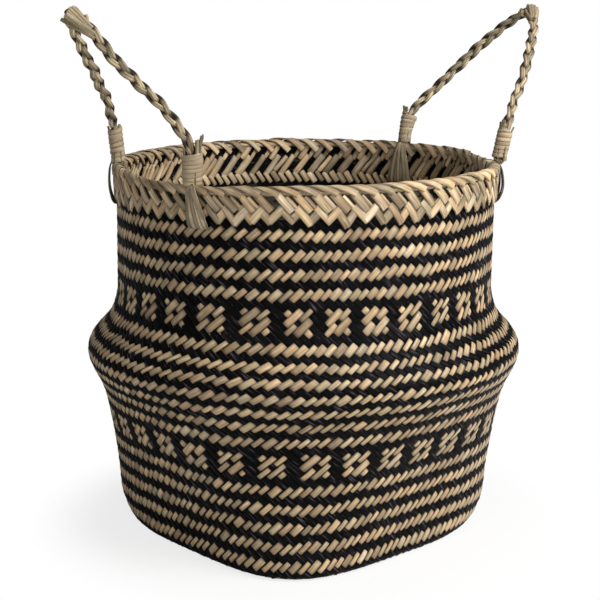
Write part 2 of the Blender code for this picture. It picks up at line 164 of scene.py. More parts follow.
# Backing outside and inside: how far behind the face, width, tone and tint. The outer backing's low tone is
# painted shade in the gaps between the stitches
BORDER_BACKING = (-0.7 * MM, 8.0 * MM, 0.1, 0.2)
INNER_BACKING = (0.2 * MM, 9.0 * MM, 0.5, 0.3)
HOOP_STEPS = 257
STITCH_STEPS = 9
DIP_POWER = 5
# Rows of stitches: turn and height where they start and where they end, how far out they lie, their lift,
# and the shares between which their width varies
POINTS_RISING = (2.4, 270.4 * MM, 5.1, 281.5 * MM, 0.0, 0.5 * MM, (1.0, 1.25))
POINTS_FALLING = (0.2, 282.0 * MM, 2.9, 269.4 * MM, 0.4 * MM, 0.5 * MM, (0.8, 1.05))
TOP_SLANTS = (-0.1, 291.5 * MM, 2.9, 278.4 * MM, 0.8 * MM, 0.7 * MM, (0.9, 1.2))
THIN_SLANTS = (1.8, 289.5 * MM, 3.9, 281.0 * MM, 0.6 * MM, 0.5 * MM, (0.35, 0.6))
INNER_TOPS = (2.4, 280.5 * MM, 0.0, 293.5 * MM, 0.0, 0.9 * MM, (0.7, 1.0))
INNER_SLANTS = (3.6, 266.5 * MM, 0.3, 282.5 * MM, 0.0, 1.3 * MM, (0.8, 1.15))
INNER_SECONDS = (5.0, 269.0 * MM, 2.0, 281.5 * MM, 0.0, 0.6 * MM, (0.6, 1.0))
INNER_POINTS = (1.8, 268.0 * MM, 0.2, 259.5 * MM, 0.0, 0.7 * MM, (0.6, 0.9))
# Stitches that stand in pairs: turn of each, and its share of the width or its height in millimetres
INNER_TOP_PAIR = ((0.0, 0.9), (1.45, 0.8))
INNER_POINT_PAIR = ((0.2, 0.0), (2.0, -0.8))
INNER_START = 1.0
# Unevenness of the stitches: turns, heights in millimetres, and how many of a row are there
UNIT_CHANGE, RISING_CHANGE, FALLING_CHANGE, SLANT_CHANGE = 0.12, 0.2, 0.15, 0.2
POINT_CHANGE, TOP_CHANGE, INNER_SLANT_CHANGE, SECOND_CHANGE = 1.2, 0.6, 0.5, 0.8
POINT_RISES = (0.0, 0.7)
THIN_SHARE, MISSING_TOP_SHARE, SECOND_SHARE = 0.7, 0.15, 0.45
RIM_MIDDLE = 148.5 * MM
LIP_HALF_WIDTH = 4.2 * MM
LIP_STITCH_WIDTH = 5.2 * MM
LIP_TONE_SHARE = 1.1
LIP_WIDTH_SHARES = (0.8, 1.15)
LIP_STEPS = 22
LIP_TURN_CHANGE = 0.15
LIP_BEND_CHANGE = 0.45
# The bundle under the lip: its depth below the rim, width, height, lap and steps
RIM_BUNDLE_DEPTH = 3.8 * MM
RIM_BUNDLE_SIZE = (5.0 * MM, 6.2 * MM)
RIM_BUNDLE_LAP = 3.0
RIM_BUNDLE_STEPS = 300
LIP_ROUTE = (
    (-4.6, 144.9 * MM, 287.0 * MM), (-3.4, 144.6 * MM, 291.5 * MM), (-2.4, 145.5 * MM, 294.3 * MM),
    (-1.2, 147.5 * MM, 295.8 * MM), (0.4, 150.0 * MM, 295.9 * MM), (2.2, 152.1 * MM, 294.4 * MM),
    (3.3, 152.9 * MM, 292.7 * MM), (4.3, 153.0 * MM, 290.7 * MM),
)
BORDER_FOOT = 264.0 * MM
DIP_LIMIT_SHARE = 1.2
# Where the handles pull the rim down: azimuth, reach round the rim and depth
RIM_DIPS = (
    (math.radians(-158), math.radians(26), 3.6 * MM),
    (math.radians(-24), math.radians(15), 2.4 * MM),
)

# Handles: places of their middle lines as (x, half spread, height) in millimetres, up from each foot
HANDLE_FEET = {
    "left_front": ((-133, 64, 292), (-133.5, 65.5, 306), (-135.5, 67, 320)),
    "left_back": ((-133.5, 64.5, 294), (-134, 65.5, 307), (-135.5, 66.5, 321)),
    "right_front": ((139.5, 68, 294), (141.5, 69, 306), (144.5, 69.5, 319), (151.5, 65, 330)),
    "right_back": ((136, 61.5, 295), (138, 62, 307), (142.5, 62.5, 320), (150.5, 60.5, 330)),
}
HANDLE_ARCHES = {
    "left": (
        (-140, 62, 331), (-144.5, 56.5, 340), (-150, 50, 350), (-159, 42, 360), (-166, 34, 370),
        (-174.5, 27.5, 380), (-181, 22, 390), (-187.5, 17, 400), (-193.5, 11, 408), (-197, 5, 412),
        (-198, 0, 413),
    ),
    "right": (
        (161, 57.5, 340), (170.5, 52, 350), (178.5, 46.5, 360), (186.5, 41, 370), (194, 34, 380),
        (202, 26.5, 389), (209.5, 18.5, 398), (214.5, 11, 404), (217, 5, 407.5), (217.5, 0, 408.5),
    ),
}
ROUTE_STEPS = 330
CURVE_STEPS = 12
BRAID_STRANDS = 3
BRAID_PERIOD = 42 * MM
BRAID_HALF_WIDTH = 2.4 * MM
BRAID_HALF_DEPTH = 1.9 * MM
BUNDLE_WIDTH = 4.3 * MM
BUNDLE_THICKNESS = 3.0 * MM
BUNDLE_TONES = (1.3, 1.05, 0.8)
# Slow changes along a bundle: their size, and the length over which they turn by one radian
PHASE_WAVE = (0.3, 31 * MM)
ROLL_WAVE = (0.35, 13 * MM)
SWELL_WAVE = (0.12, 17 * MM)
# Painted shade on the braid: a bundle darkens where it passes under the others
UNDER_SHADE_TONE = 0.12
UNDER_SHADE_FADE = (-0.3, 0.7)
PATCHES = 40
PATCH_TONES = (0.72, 1.2)
TINT_CHANGES = 24
BOUND_SHARE = 0.4
BOUND_WIDTH_SHARE = 0.75
BRAID_FACING = np.array([-0.507, -0.862, 0.0])
CAMERA_RIGHT = np.array([0.862, -0.507, 0.0])
# Bindings: where each starts and ends along its leg, and half its width there
BINDINGS = {
    "left_front": (2.5 * MM, 25.5 * MM, 6.6 * MM, 7.2 * MM),
    "left_back": (2.0 * MM, 28.5 * MM, 4.9 * MM, 5.2 * MM),
    "right_front": (2.5 * MM, 25.0 * MM, 5.6 * MM, 5.8 * MM),
    "right_back": (3.5 * MM, 27.0 * MM, 4.2 * MM, 6.4 * MM),
}
BINDING_TURNS = 7
BINDING_TURN_STEPS = 22
BINDING_WOBBLE = 0.22
BINDING_WIDTHS = (3.6, 5.2)
BINDING_THICKNESS = 1.0 * MM
BINDING_TILT = 0.18
BINDING_TONES = (0.82, 1.08)
BINDING_TINT = 0.65
BINDING_HALF_DEPTH = 4.6 * MM
# The stretch at a binding's top over which the braid opens out
OPEN_BEFORE = 2 * MM
OPEN_AFTER = 10 * MM
# Height below which the strands of a loop bow out from the rim as they run down
BEND_BOTTOM = 0.2965
FEET = (("left", "front"), ("left", "back"), ("right", "front"), ("right", "back"))
FOOT_AZIMUTH = {
    "left_front": math.radians(-154), "left_back": math.radians(154),
    "right_front": math.radians(-26), "right_back": math.radians(24.3),
}
FOOT_AWAY = {"left_front": 1, "left_back": -1, "right_front": -1, "right_back": 1}
LOOP_BOWS = {"left_front": 2 * MM, "left_back": 1.5 * MM, "right_front": 3 * MM, "right_back": 3 * MM}
LOOP_TONES = {"left_front": 1.1, "left_back": 0.6, "right_front": 0.4, "right_back": 0.9}
# How far a foot's strands stand from its middle where the binding lets them go
LOOP_STAND = 2.6 * MM
LOOP_STEPS = 44
BOW_HEIGHT = 0.034
FOOT_REACH = 60 * MM
CORE_REACH = 12 * MM
CORE_STEP = 4
STRAND_THICKNESS = 1.0 * MM
STRAND_TILT = (0.0, 0.0, 0.25)
LOOP_FADE_SHARES = (0.3, 0.45)
FOOT_HALF_SPREAD = 3.2 * MM
# Strands of a loop: the way they spread in degrees, their share of the bow, width and tone
LOOP_STRANDS = ((5.6, 1.0, 4.4, 0.8), (4.3, 0.7, 3.0, 1.5), (3.2, 0.9, 4.0, 0.75), (1.8, 0.4, 4.2, 1.1),
                (0.4, 0.1, 3.4, 0.55))
OUTER_ROUTE = (
    (0.1, 151.6 * MM, 297.6 * MM), (0.3, 154.2 * MM, 294.5 * MM), (0.55, 155.0 * MM, 288.0 * MM),
    (0.85, 155.0 * MM, 277.0 * MM), (1.0, 154.2 * MM, 268.0 * MM), (1.0, 151.6 * MM, 263.5 * MM),
    (1.0, 147.0 * MM, 262.5 * MM),
)
INNER_ROUTE = (
    (0.15, 144.6 * MM, 296.4 * MM), (0.4, 142.8 * MM, 291.0 * MM), (0.7, 141.9 * MM, 281.0 * MM),
    (0.9, 141.6 * MM, 271.0 * MM), (1.0, 142.4 * MM, 263.5 * MM), (1.0, 146.0 * MM, 260.0 * MM),
)
FAN_STRANDS = 7
FAN_SPREAD = 8.0
FAN_STEPS = 36
FAN_WIDTH = 3.3 * MM
FAN_STEP_BACK = 0.8 * MM
STUB_ROOT = 7.0
STUB_STEPS = 10
STUB_INSET_SHARE = 0.75
STUB_WIDTH = 4.2 * MM
STUB_THICKNESS = 1.4 * MM
# Cut ends above each binding: the way they face in radians, length and splay in millimetres
STUBS = {
    "left_front": ((0.1, 13.0, 2.5), (0.8, 10.0, 0.5), (-0.5, 11.0, 3.0), (3.0, 3.0, 0.5)),
    "left_back": ((2.9, 2.5, 1.0), (1.2, 2.0, 0.5), (0.2, 3.0, 0.5)),
    "right_front": ((0.2, 3.0, 1.5), (3.0, 5.0, 1.0), (2.4, 7.0, 1.0), (1.2, 6.0, 0.5)),
    "right_back": ((3.1, 4.5, 2.5), (2.5, 4.0, 1.5), (-2.8, 3.5, 2.0)),
}
# Bunches of cut ends at the top of each handle: millimetres from its middle, turn round the braid in
# radians, length in millimetres and lean
APEX_ENDS = {
    "left": (
        (-25, 3.1, 27, 3.2), (-22, 2.2, 25, 3.6), (-23, 4.0, 26, 3.4), (-19, 1.4, 21, 4.5),
        (-17, 4.8, 21, 4.0), (-15, 0.3, 6, 1.5), (-5, 0.1, 5, 1.2),
    ),
    "right": (
        (-13, 3.1, 14, 7.0), (-13, 0.2, 16, 7.0), (-12, 1.5, 15, 7.0), (-14, 4.6, 16, 7.0),
        (0, 0.1, 7, -0.6), (2, 1.5, 8, -0.8), (6, 0.1, 4, -1.5),
    ),
}
APEX_STEMS = 3
APEX_STEM_SPACING = 2.0 * MM
APEX_OUT = 2.2 * MM
APEX_ROOT = 3 * MM
APEX_BEND = 1.2 * MM
APEX_STEPS = 8
APEX_WIDTH = 2.9 * MM
APEX_THICKNESS = 2.1 * MM
APEX_LENGTH_CHANGE = (-2.0, 1.0)

# Maps of the strips: room between shelves and beside them, and how small an end is laid out
SHELF_ROOM = 1.15
SQUARE_ROOM = 1.02
CAP_PARTS = 5
SHARP_ANGLE = math.radians(38.0)

rng = np.random.default_rng(7)


def unit(vectors):
    return vectors / np.linalg.norm(vectors, axis=-1, keepdims=True)


def added_up(steps):
    """The running total of steps, from zero."""
    return np.concatenate([[0.0], np.cumsum(steps)])


def way_along(route):
    return added_up(np.linalg.norm(np.diff(route, axis=0), axis=1))


def smoothstep(low, high, value):
    share = np.clip((value - low) / (high - low), 0.0, 1.0)
    return share * share * (3.0 - 2.0 * share)


class Ribbons:
    """Collects closed strips into one mesh. Every point carries a tone, a tint and how black it is."""

    def __init__(self, section, shades=None):
        self.section = np.array(section, float)
        self.shades = np.ones(len(section)) if shades is None else np.array(shades)
        self.points = []
        self.tones = []
        self.corners = []
        self.sizes = []
        self.fibre = []
        self.runs = []
        self.count = 0

    def add(self, centres, up, width, thickness, tone=0.8, tint=0.5, black=0.0, back_tone=None):
        """One strip through centres, with its flat side facing up. The rest may vary along it."""
        centres = np.asarray(centres, float)
        steps = len(centres)
        sides = len(self.section)
        direction = unit(np.gradient(centres, axis=0))
        up = np.broadcast_to(np.asarray(up, float), centres.shape)
        across = unit(np.cross(direction, up))
        up = np.cross(across, direction)
        width = np.broadcast_to(width, steps)[:, None, None]
        thickness = np.broadcast_to(thickness, steps)[:, None, None]
        section_x = self.section[:, 0][None, :, None]
        section_y = self.section[:, 1][None, :, None]
        ring = centres[:, None] + across[:, None] * section_x * width / 2
        ring = ring + up[:, None] * section_y * thickness / 2
        self.points.append(ring.reshape(-1, 3))
        marks = np.stack([np.broadcast_to(value, steps) for value in (tone, tint, black)], axis=1)
        marks = np.repeat(marks, sides, axis=0)
        if back_tone is not None:
            behind = np.tile(self.section[:, 1] < 0, steps)
            marks[behind, 0] = np.repeat(np.broadcast_to(back_tone, steps), sides)[behind]
        # Painted shade across the strip: each corner's tone is scaled by its shade
        marks[:, 0] *= np.tile(self.shades, steps)
        self.tones.append(marks)

        along = way_along(centres)
        middle = ring[steps // 2]
        round_way = added_up(np.linalg.norm(np.roll(middle, -1, axis=0) - middle, axis=1))
        i, j = np.meshgrid(np.arange(steps - 1), np.arange(sides), indexing="ij")
        following = (j + 1) % sides
        quads = np.stack([i * sides + j, (i + 1) * sides + j, (i + 1) * sides + following,
                          i * sides + following], axis=-1).reshape(-1, 4)
        quad_u = np.stack([along[i], along[i + 1], along[i + 1], along[i]], axis=-1).reshape(-1)
        near_side, far_side = round_way[j], round_way[j + 1]
        quad_v = np.stack([near_side, near_side, far_side, far_side], axis=-1).reshape(-1)
        start_cap = np.arange(sides)
        end_cap = (steps - 1) * sides + start_cap[::-1]
        flat_x = self.section[:, 0] * round_way[-1] / CAP_PARTS
        flat_y = round_way[-1] / 2 + self.section[:, 1] * round_way[-1] / CAP_PARTS
        cap_room = round_way[-1] / 2
        self.corners.append(np.concatenate([quads.reshape(-1), start_cap, end_cap]) + self.count)
        self.sizes.append(np.concatenate([np.full(len(quads), 4), [sides, sides]]))
        along_all = np.concatenate([quad_u + 2 * cap_room, flat_x + cap_room,
                                    flat_x[::-1] + 3 * cap_room + along[-1]])
        round_all = np.concatenate([quad_v, flat_y, flat_y[::-1]])
        self.fibre.append(np.stack([along_all, round_all], axis=1))
        self.runs.append((along[-1] + 4 * cap_room, round_way[-1]))
        self.count += steps * sides

    def shelf_places(self):
        """Lays every strip on shelves in a square, so that no two share a place on the map."""
        height = max(run[1] for run in self.runs) * SHELF_ROOM
        longest = max(run[0] for run in self.runs)
        width = max(longest, math.sqrt(sum(run[0] for run in self.runs) * height)) * SQUARE_ROOM
        places, x, y = [], 0.0, 0.0
        for length, _ in self.runs:
            if x + length > width:
                x, y = 0.0, y + height
            places.append((x, y))
            x += length
        return places, max(width, y + height)

    def build(self, name, material):
        mesh = bpy.data.meshes.new(name)
        points = np.concatenate(self.points)
        corners = np.concatenate(self.corners).astype(np.int32)
        sizes = np.concatenate(self.sizes).astype(np.int32)
        mesh.vertices.add(len(points))
        mesh.vertices.foreach_set("co", leaned(points).astype(np.float32).ravel())
        mesh.loops.add(len(corners))
        mesh.loops.foreach_set("vertex_index", corners)
        mesh.polygons.add(len(sizes))
        starts = np.concatenate([[0], np.cumsum(sizes)[:-1]]).astype(np.int32)
        mesh.polygons.foreach_set("loop_start", starts)
        marks = np.concatenate(self.tones).astype(np.float32)
        for column, mark in enumerate(("tone", "tint", "black")):
            attribute = mesh.attributes.new(mark, "FLOAT", "POINT")
            attribute.data.foreach_set("value", np.ascontiguousarray(marks[:, column]))
        places, scale = self.shelf_places()
        apart = rng.uniform(0.0, 1.0, (len(self.runs), 2))
        fibre_map = mesh.uv_layers.new(name="Fibre")
        bake_map = mesh.uv_layers.new(name="OFBake")
        shifted = [uv + shift for uv, shift in zip(self.fibre, apart)]
        shelved = [(uv + np.array(place)) / scale for uv, place in zip(self.fibre, places)]
        fibre_map.data.foreach_set("uv", np.concatenate(shifted).astype(np.float32).ravel())
        bake_map.data.foreach_set("uv", np.concatenate(shelved).astype(np.float32).ravel())
        mesh.update(calc_edges=True)
        mesh.validate()
        mesh.shade_smooth()
        mesh.set_sharp_from_angle(angle=SHARP_ANGLE)
        mesh.materials.append(material)
        piece = bpy.data.objects.new(name, mesh)
        bpy.context.scene.collection.objects.link(piece)
        return piece


# Sections of strips, as shares of half their width and thickness, with a shade for each corner: painted
# shade at the edges, lighter on the crown
FLAT_STRIP_SHARES = (
    (-1.0, -0.9), (1.0, -0.9), (0.95, 0.55), (0.55, 1.1), (0.0, 1.25), (-0.55, 1.1), (-0.95, 0.55),
)
FLAT_SHADES = (0.9, 0.9, 0.35, 0.92, 1.06, 0.96, 0.4)
SOFT_SHADES = (0.95, 0.95, 0.7, 0.98, 1.04, 1.0, 0.72)
ROUND_SIDES = 12
ROUND_STRAND_SHARES = tuple(
    (math.cos(math.tau * k / ROUND_SIDES), math.sin(math.tau * k / ROUND_SIDES)) for k in range(ROUND_SIDES)
)
# A bundle of rush leaves: an oval with five soft grooves along it, and painted shade in the grooves
BUNDLE_SIDES = 25
GROOVES = 5
GROOVE_WAVE = tuple(math.cos(math.tau * GROOVES * k / BUNDLE_SIDES) for k in range(BUNDLE_SIDES))
BUNDLE_SHADES = tuple(0.8 - 0.3 * wave for wave in GROOVE_WAVE)
BUNDLE_REACH_SHARES = tuple(0.95 - 0.06 * wave for wave in GROOVE_WAVE)
BUNDLE_SHARES = tuple(
    (share * math.cos(math.tau * k / BUNDLE_SIDES), share * math.sin(math.tau * k / BUNDLE_SIDES))
    for k, share in enumerate(BUNDLE_REACH_SHARES)
)


def leaned(points):
    """The same points, moved sideways by the basket's slight lean."""
    moved = np.array(points, float)
    share = (moved[:, 2] - LEAN_CENTRE) / RIM_TOP
    moved[:, 0] += LEAN * LEAN_DIRECTION[0] * share
    moved[:, 1] += LEAN * LEAN_DIRECTION[1] * share
    return moved


def squareness(height):
    below = np.clip((BELLY_HEIGHT - height) / (BELLY_HEIGHT - STRAIGHT_FOOT), 0.0, 1.0)
    return ROUND_SQUARENESS + (BASE_SQUARENESS - ROUND_SQUARENESS) * below ** SQUARENESS_FADE


def spread(azimuth, exponent):
    """How far a superellipse reaches at an azimuth, as a share of its reach at a corner."""
    turned = azimuth - CORNER_ANGLE + math.pi / 4
    sum_of_powers = np.abs(np.cos(turned)) ** exponent + np.abs(np.sin(turned)) ** exponent
    return 2 ** (1 / exponent - 1 / 2) / sum_of_powers ** (1 / exponent)


def turn_from(azimuth, middle):
    """The angle from middle to azimuth, between half a turn back and half a turn ahead."""
    return (azimuth - middle + math.pi) % math.tau - math.pi


def unevenness(azimuth, height):
    """How far round the strips lie off an even spacing."""
    share = smoothstep(UNEVEN_FOOT, UNEVEN_NECK, height)
    off = 0.0
    for middle, reach, at_foot, at_neck in UNEVEN_PLACES:
        most = at_foot + (at_neck - at_foot) * share
        off = off + most * np.exp(-((turn_from(azimuth, middle) / reach) ** 2))
    return off


def corner_tuck(azimuth, height):
    """How far the wall is drawn in at the foot of a corner of the base."""
    from_corner = np.abs((azimuth - FRONT_CORNER + math.pi / 4) % (math.pi / 2) - math.pi / 4)
    near = smoothstep(0.0, 1.0, 1.0 - from_corner / CORNER_TUCK_REACH)
    off_front = smoothstep(*FRONT_KEPT_SHARES, 1.0 - np.cos(azimuth - FRONT_CORNER))
    low = np.clip(1.0 - height / CORNER_TUCK_HEIGHT, 0.0, 1.0) ** 2
    return CORNER_TUCK * near * off_front * low


# How finely the wall's tables are worked out
EDGE_STEPS = 20
SQUARENESS_STEPS = 41
AZIMUTH_STEPS = 2881
GIRTH_STEPS = 1025
NORMAL_STEP = 0.2


class Wall:
    """The wall's outer face, and where each (u, v) of the plait lies on it."""

    def __init__(self):
        heights = np.arange(BASE_EDGE_ROUND, RIM_TOP, OUTLINE_STEP)
        radii = self.smoothed(self.outline(heights))
        angles = np.linspace(0.0, math.pi / 2, EDGE_STEPS, endpoint=False)
        foot_radii = BASE_RADIUS - BASE_EDGE_ROUND * (1 - np.sin(angles))
        foot_heights = BASE_EDGE_ROUND * (1 - np.cos(angles))
        self.radii = np.concatenate([[foot_radii[0] - MAT_LAP], foot_radii, radii])
        self.heights = np.maximum(np.concatenate([[0.0], foot_heights, heights]), FLOOR_GAP)
        self.exponents = np.linspace(ROUND_SQUARENESS, BASE_SQUARENESS, SQUARENESS_STEPS)
        azimuths = FRONT_CORNER + np.linspace(0.0, math.tau, AZIMUTH_STEPS)
        self.shares = np.linspace(0.0, 1.0, GIRTH_STEPS)
        self.azimuth_table = []
        girths = []
        for exponent in self.exponents:
            reach = spread(azimuths, exponent)
            x, y = reach * np.cos(azimuths), reach * np.sin(azimuths)
            way = added_up(np.hypot(np.diff(x), np.diff(y)))
            girths.append(way[-1])
            self.azimuth_table.append(np.interp(self.shares, way / way[-1], azimuths))
        self.azimuth_table = np.array(self.azimuth_table)
        girth = self.radii * np.interp(squareness(self.heights), self.exponents, girths)
        self.half_step = girth / HALF_STEPS
        self.row_height = np.sqrt(CROSSING_SPACING**2 - self.half_step**2)
        way = np.hypot(np.diff(self.radii), np.diff(self.heights))
        rows = added_up(way / ((self.row_height[1:] + self.row_height[:-1]) / 2))
        rows = rows - np.interp(ZERO_ROW_HEIGHT, self.heights, rows)
        self.rows = np.where(rows > 0.0, rows * NECK_TIGHTNESS, rows)

    @staticmethod
    def outline(heights):
        lower_share, lower_swell = np.array(LOWER_OUTLINE_SHARES).T
        upper_share, upper_swell = np.array(SHOULDER_OUTLINE_SHARES).T
        lower = BASE_RADIUS + (BELLY_RADIUS - BASE_RADIUS) * np.interp(
            (heights - STRAIGHT_FOOT) / (BELLY_HEIGHT - STRAIGHT_FOOT), lower_share, lower_swell)
        upper = NECK_RADIUS + (BELLY_RADIUS - NECK_RADIUS) * np.interp(
            (heights - BELLY_HEIGHT) / (NECK_FOOT - BELLY_HEIGHT), upper_share, upper_swell)
        return np.where(heights < BELLY_HEIGHT, lower, upper)

    @staticmethod
    def smoothed(radii):
        reach = int(OUTLINE_BLUR / OUTLINE_STEP)
        padded = np.pad(radii, reach, mode="edge")
        kernel = np.ones(2 * reach + 1) / (2 * reach + 1)
        return np.convolve(padded, kernel, mode="valid")

    def face(self, u, v):
        radius = np.interp(v, self.rows, self.radii)
        height = np.interp(v, self.rows, self.heights)
        exponent = squareness(height)
        squared_share = (exponent - ROUND_SQUARENESS) / (BASE_SQUARENESS - ROUND_SQUARENESS)
        level = squared_share * (len(self.exponents) - 1)
        place = (u / HALF_STEPS % 1.0) * (len(self.shares) - 1)
        low_level = np.clip(np.floor(level).astype(int), 0, len(self.exponents) - 2)
        low_place = np.clip(np.floor(place).astype(int), 0, len(self.shares) - 2)
        up, on = level - low_level, place - low_place
        azimuth = 0.0
        for level_step, level_share in ((0, 1 - up), (1, up)):
            row = low_level + level_step
            before, after = self.azimuth_table[row, low_place], self.azimuth_table[row, low_place + 1]
            azimuth = azimuth + level_share * ((1 - on) * before + on * after)
        azimuth = azimuth + unevenness(azimuth, height)
        reach = radius * spread(azimuth, exponent) - corner_tuck(azimuth, height)
        return np.stack([reach * np.cos(azimuth), reach * np.sin(azimuth), height], axis=-1)

    def normal(self, u, v):
        around = self.face(u + NORMAL_STEP, v) - self.face(u - NORMAL_STEP, v)
        upwards = self.face(u, v + NORMAL_STEP) - self.face(u, v - NORMAL_STEP)
        return unit(np.cross(around, upwards))

    def strip_pitch(self, v):
        half_step = np.interp(v, self.rows, self.half_step)
        row_height = np.interp(v, self.rows, self.row_height)
        return 2 * half_step * row_height / CROSSING_SPACING


def natural_on_top(u, v):
    """Which crossings show a natural strip outside: pairs of rows, and two rows of motifs."""
    top = np.zeros(np.shape(v), bool)
    for low in NATURAL_BAND_PAIRS:
        top |= (v == low) | (v == low + 1)
    for row, start in MOTIF_ROWS:
        sideways = (u - start + MOTIF_SPACING / 2) % MOTIF_SPACING - MOTIF_SPACING / 2
        near = (np.abs(sideways) <= MOTIF_REACH) & (np.abs(v - row) <= MOTIF_REACH)
        hole = (sideways == 0) & (v == row)
        top |= near & ~hole
    return top


def over_and_under(over):
    """Where a strip is sampled between crossings, its lift there, and which float it belongs to."""
    changes = np.flatnonzero(np.diff(over.astype(int)))
    float_of = np.searchsorted(changes, np.arange(len(over)), side="left")
    at, lift, floats = [], [], []
    for k, on_top in enumerate(over):
        here = 1.0 if on_top else -1.0
        at.append(k)
        lift.append(here)
        floats.append(float_of[k])
        if k == len(over) - 1:
            break
        if on_top == over[k + 1]:
            at.append(k + 0.5)
            lift.append(here + (ARCH_LIFT / WEAVE_LIFT if on_top else 0.0))
            floats.append(float_of[k])
            continue
        for share, height_share in DIVE_SHARES:
            at.append(k + (share if on_top else 1.0 - share))
            lift.append(height_share)
            floats.append(float_of[k] if at[-1] < k + 0.5 else float_of[k + 1])
        if not on_top:
            for values in (at, lift, floats):
                values[-len(DIVE_SHARES):] = values[-len(DIVE_SHARES):][::-1]
    return np.array(at, float), np.array(lift), np.array(floats)


def strip_widths():
    """Each strip's share of the mean width, and how far it lies from its even place, in half strips."""
    change = rng.uniform(*WIDTH_CHANGE_SHARES, STRIPS)
    change = change * np.where(rng.uniform(size=STRIPS) < ALTERNATE_SHARE, 1, -1)
    change = change * np.where(np.arange(STRIPS) % 2, 1, -1)
    change -= change.mean()
    aside = np.cumsum(change + np.roll(change, 1))
    reach = range(-NEAR_STRIPS, NEAR_STRIPS + 1)
    near = sum(np.roll(aside, step) for step in reach) / len(reach)
    return 1.0 + change, aside - near


def share_along(at, run):
    """How far along its own float each sample lies, from 0 at the lower end to 1 at the upper end."""
    first = at[np.searchsorted(run, run, side="left")]
    last = at[np.searchsorted(run, run, side="right") - 1]
    return (at - first) / np.maximum(last - first, 1.0)


def shade_when_covered(lift):
    """How light a face is at a lift: painted shade where the other colour covers it."""
    return HIDDEN_SHADE_TONE + (1.0 - HIDDEN_SHADE_TONE) * smoothstep(*COVERED_LIFTS, lift)


def add_wall_strip(ribbons, wall, index, natural):
    """One strip from the base to the rim, over and under the other colour."""
    lean = 1 if natural else -1
    rows = np.arange(BOTTOM_ROW, TOP_ROW + 1)
    over = natural_on_top(2 * index + lean * rows, rows) == natural
    at, lift, run = over_and_under(over)
    runs = run[-1] + 1
    own, other = (NATURAL_WIDTHS, BLACK_WIDTHS) if natural else (BLACK_WIDTHS, NATURAL_WIDTHS)
    partners = (index + lean * rows) % STRIPS
    crossings = rows + lean * (other[1][partners] - own[1][index]) / 2
    v = np.interp(BOTTOM_ROW + at, rows, crossings)
    u = 2 * index + own[1][index] + lean * v
    on_wall = v > wall.rows[0] + LEAST_ROW_SHARE
    at, lift, run, u, v = (values[on_wall] for values in (at, lift, run, u, v))
    fill = NATURAL_WIDTH_SHARE if natural else BLACK_WIDTH_SHARE
    run_width = rng.uniform(*FLOAT_WIDTH_SHARES, runs) * own[0][index] * fill
    run_tone, run_tint = float_colours(runs, natural)
    lift_noise = rng.normal(0.0, FLOAT_LIFT_CHANGE, runs) * MM
    normals = wall.normal(u, v)
    raised = lift * WEAVE_LIFT + lift_noise[run] - WALL_MIDDLE_DEPTH
    centres = wall.face(u, v) + normals * raised[:, None]
    fade = (BLACKENED_ROW - BLACKENED_FADE, BLACKENED_ROW + BLACKENED_FADE)
    blackened = smoothstep(*fade, v) if natural else 0.0
    share = share_along(at, run)
    # Painted highlight: the float is lighter towards its upper end
    tone = run_tone[run] * (END_HIGHLIGHT_TONES[0] + (END_HIGHLIGHT_TONES[1] - END_HIGHLIGHT_TONES[0]) * share**2)
    # Painted shade at both ends of the float, where it dives under the other colour
    fade_in, fade_out = END_FADE_SHARES
    light = (1.0 - END_SHADE_SHARE) * smoothstep(0.0, fade_in, share)
    tone = tone * (END_SHADE_SHARE + light * smoothstep(0.0, fade_out, 1.0 - share))
    # Painted shade on faces that lie under the other colour
    ribbons.add(centres, normals, wall.strip_pitch(v) * run_width[run], STRIP_THICKNESS, tone * shade_when_covered(lift),
                run_tint[run], blackened, back_tone=tone * shade_when_covered(-lift))


def make_wall(wall, natural_material, black_material):
    """The plait, in pieces that each hold a quarter of one colour's strips."""
    share = STRIPS // PIECES_PER_COLOUR
    walls = ("lower_wall", "shoulder_fold", "neck_wall")
    colours = (("natural", True, natural_material), ("black", False, black_material))
    for colour, natural, material in colours:
        for part in range(PIECES_PER_COLOUR):
            ribbons = Ribbons(FLAT_STRIP_SHARES, FLAT_SHADES)
            for index in range(part * share, (part + 1) * share):
                add_wall_strip(ribbons, wall, index, natural)
            piece = ribbons.build(f"wall_{colour}_strips_{part + 1}", material)
            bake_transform(piece)
            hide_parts(*walls)


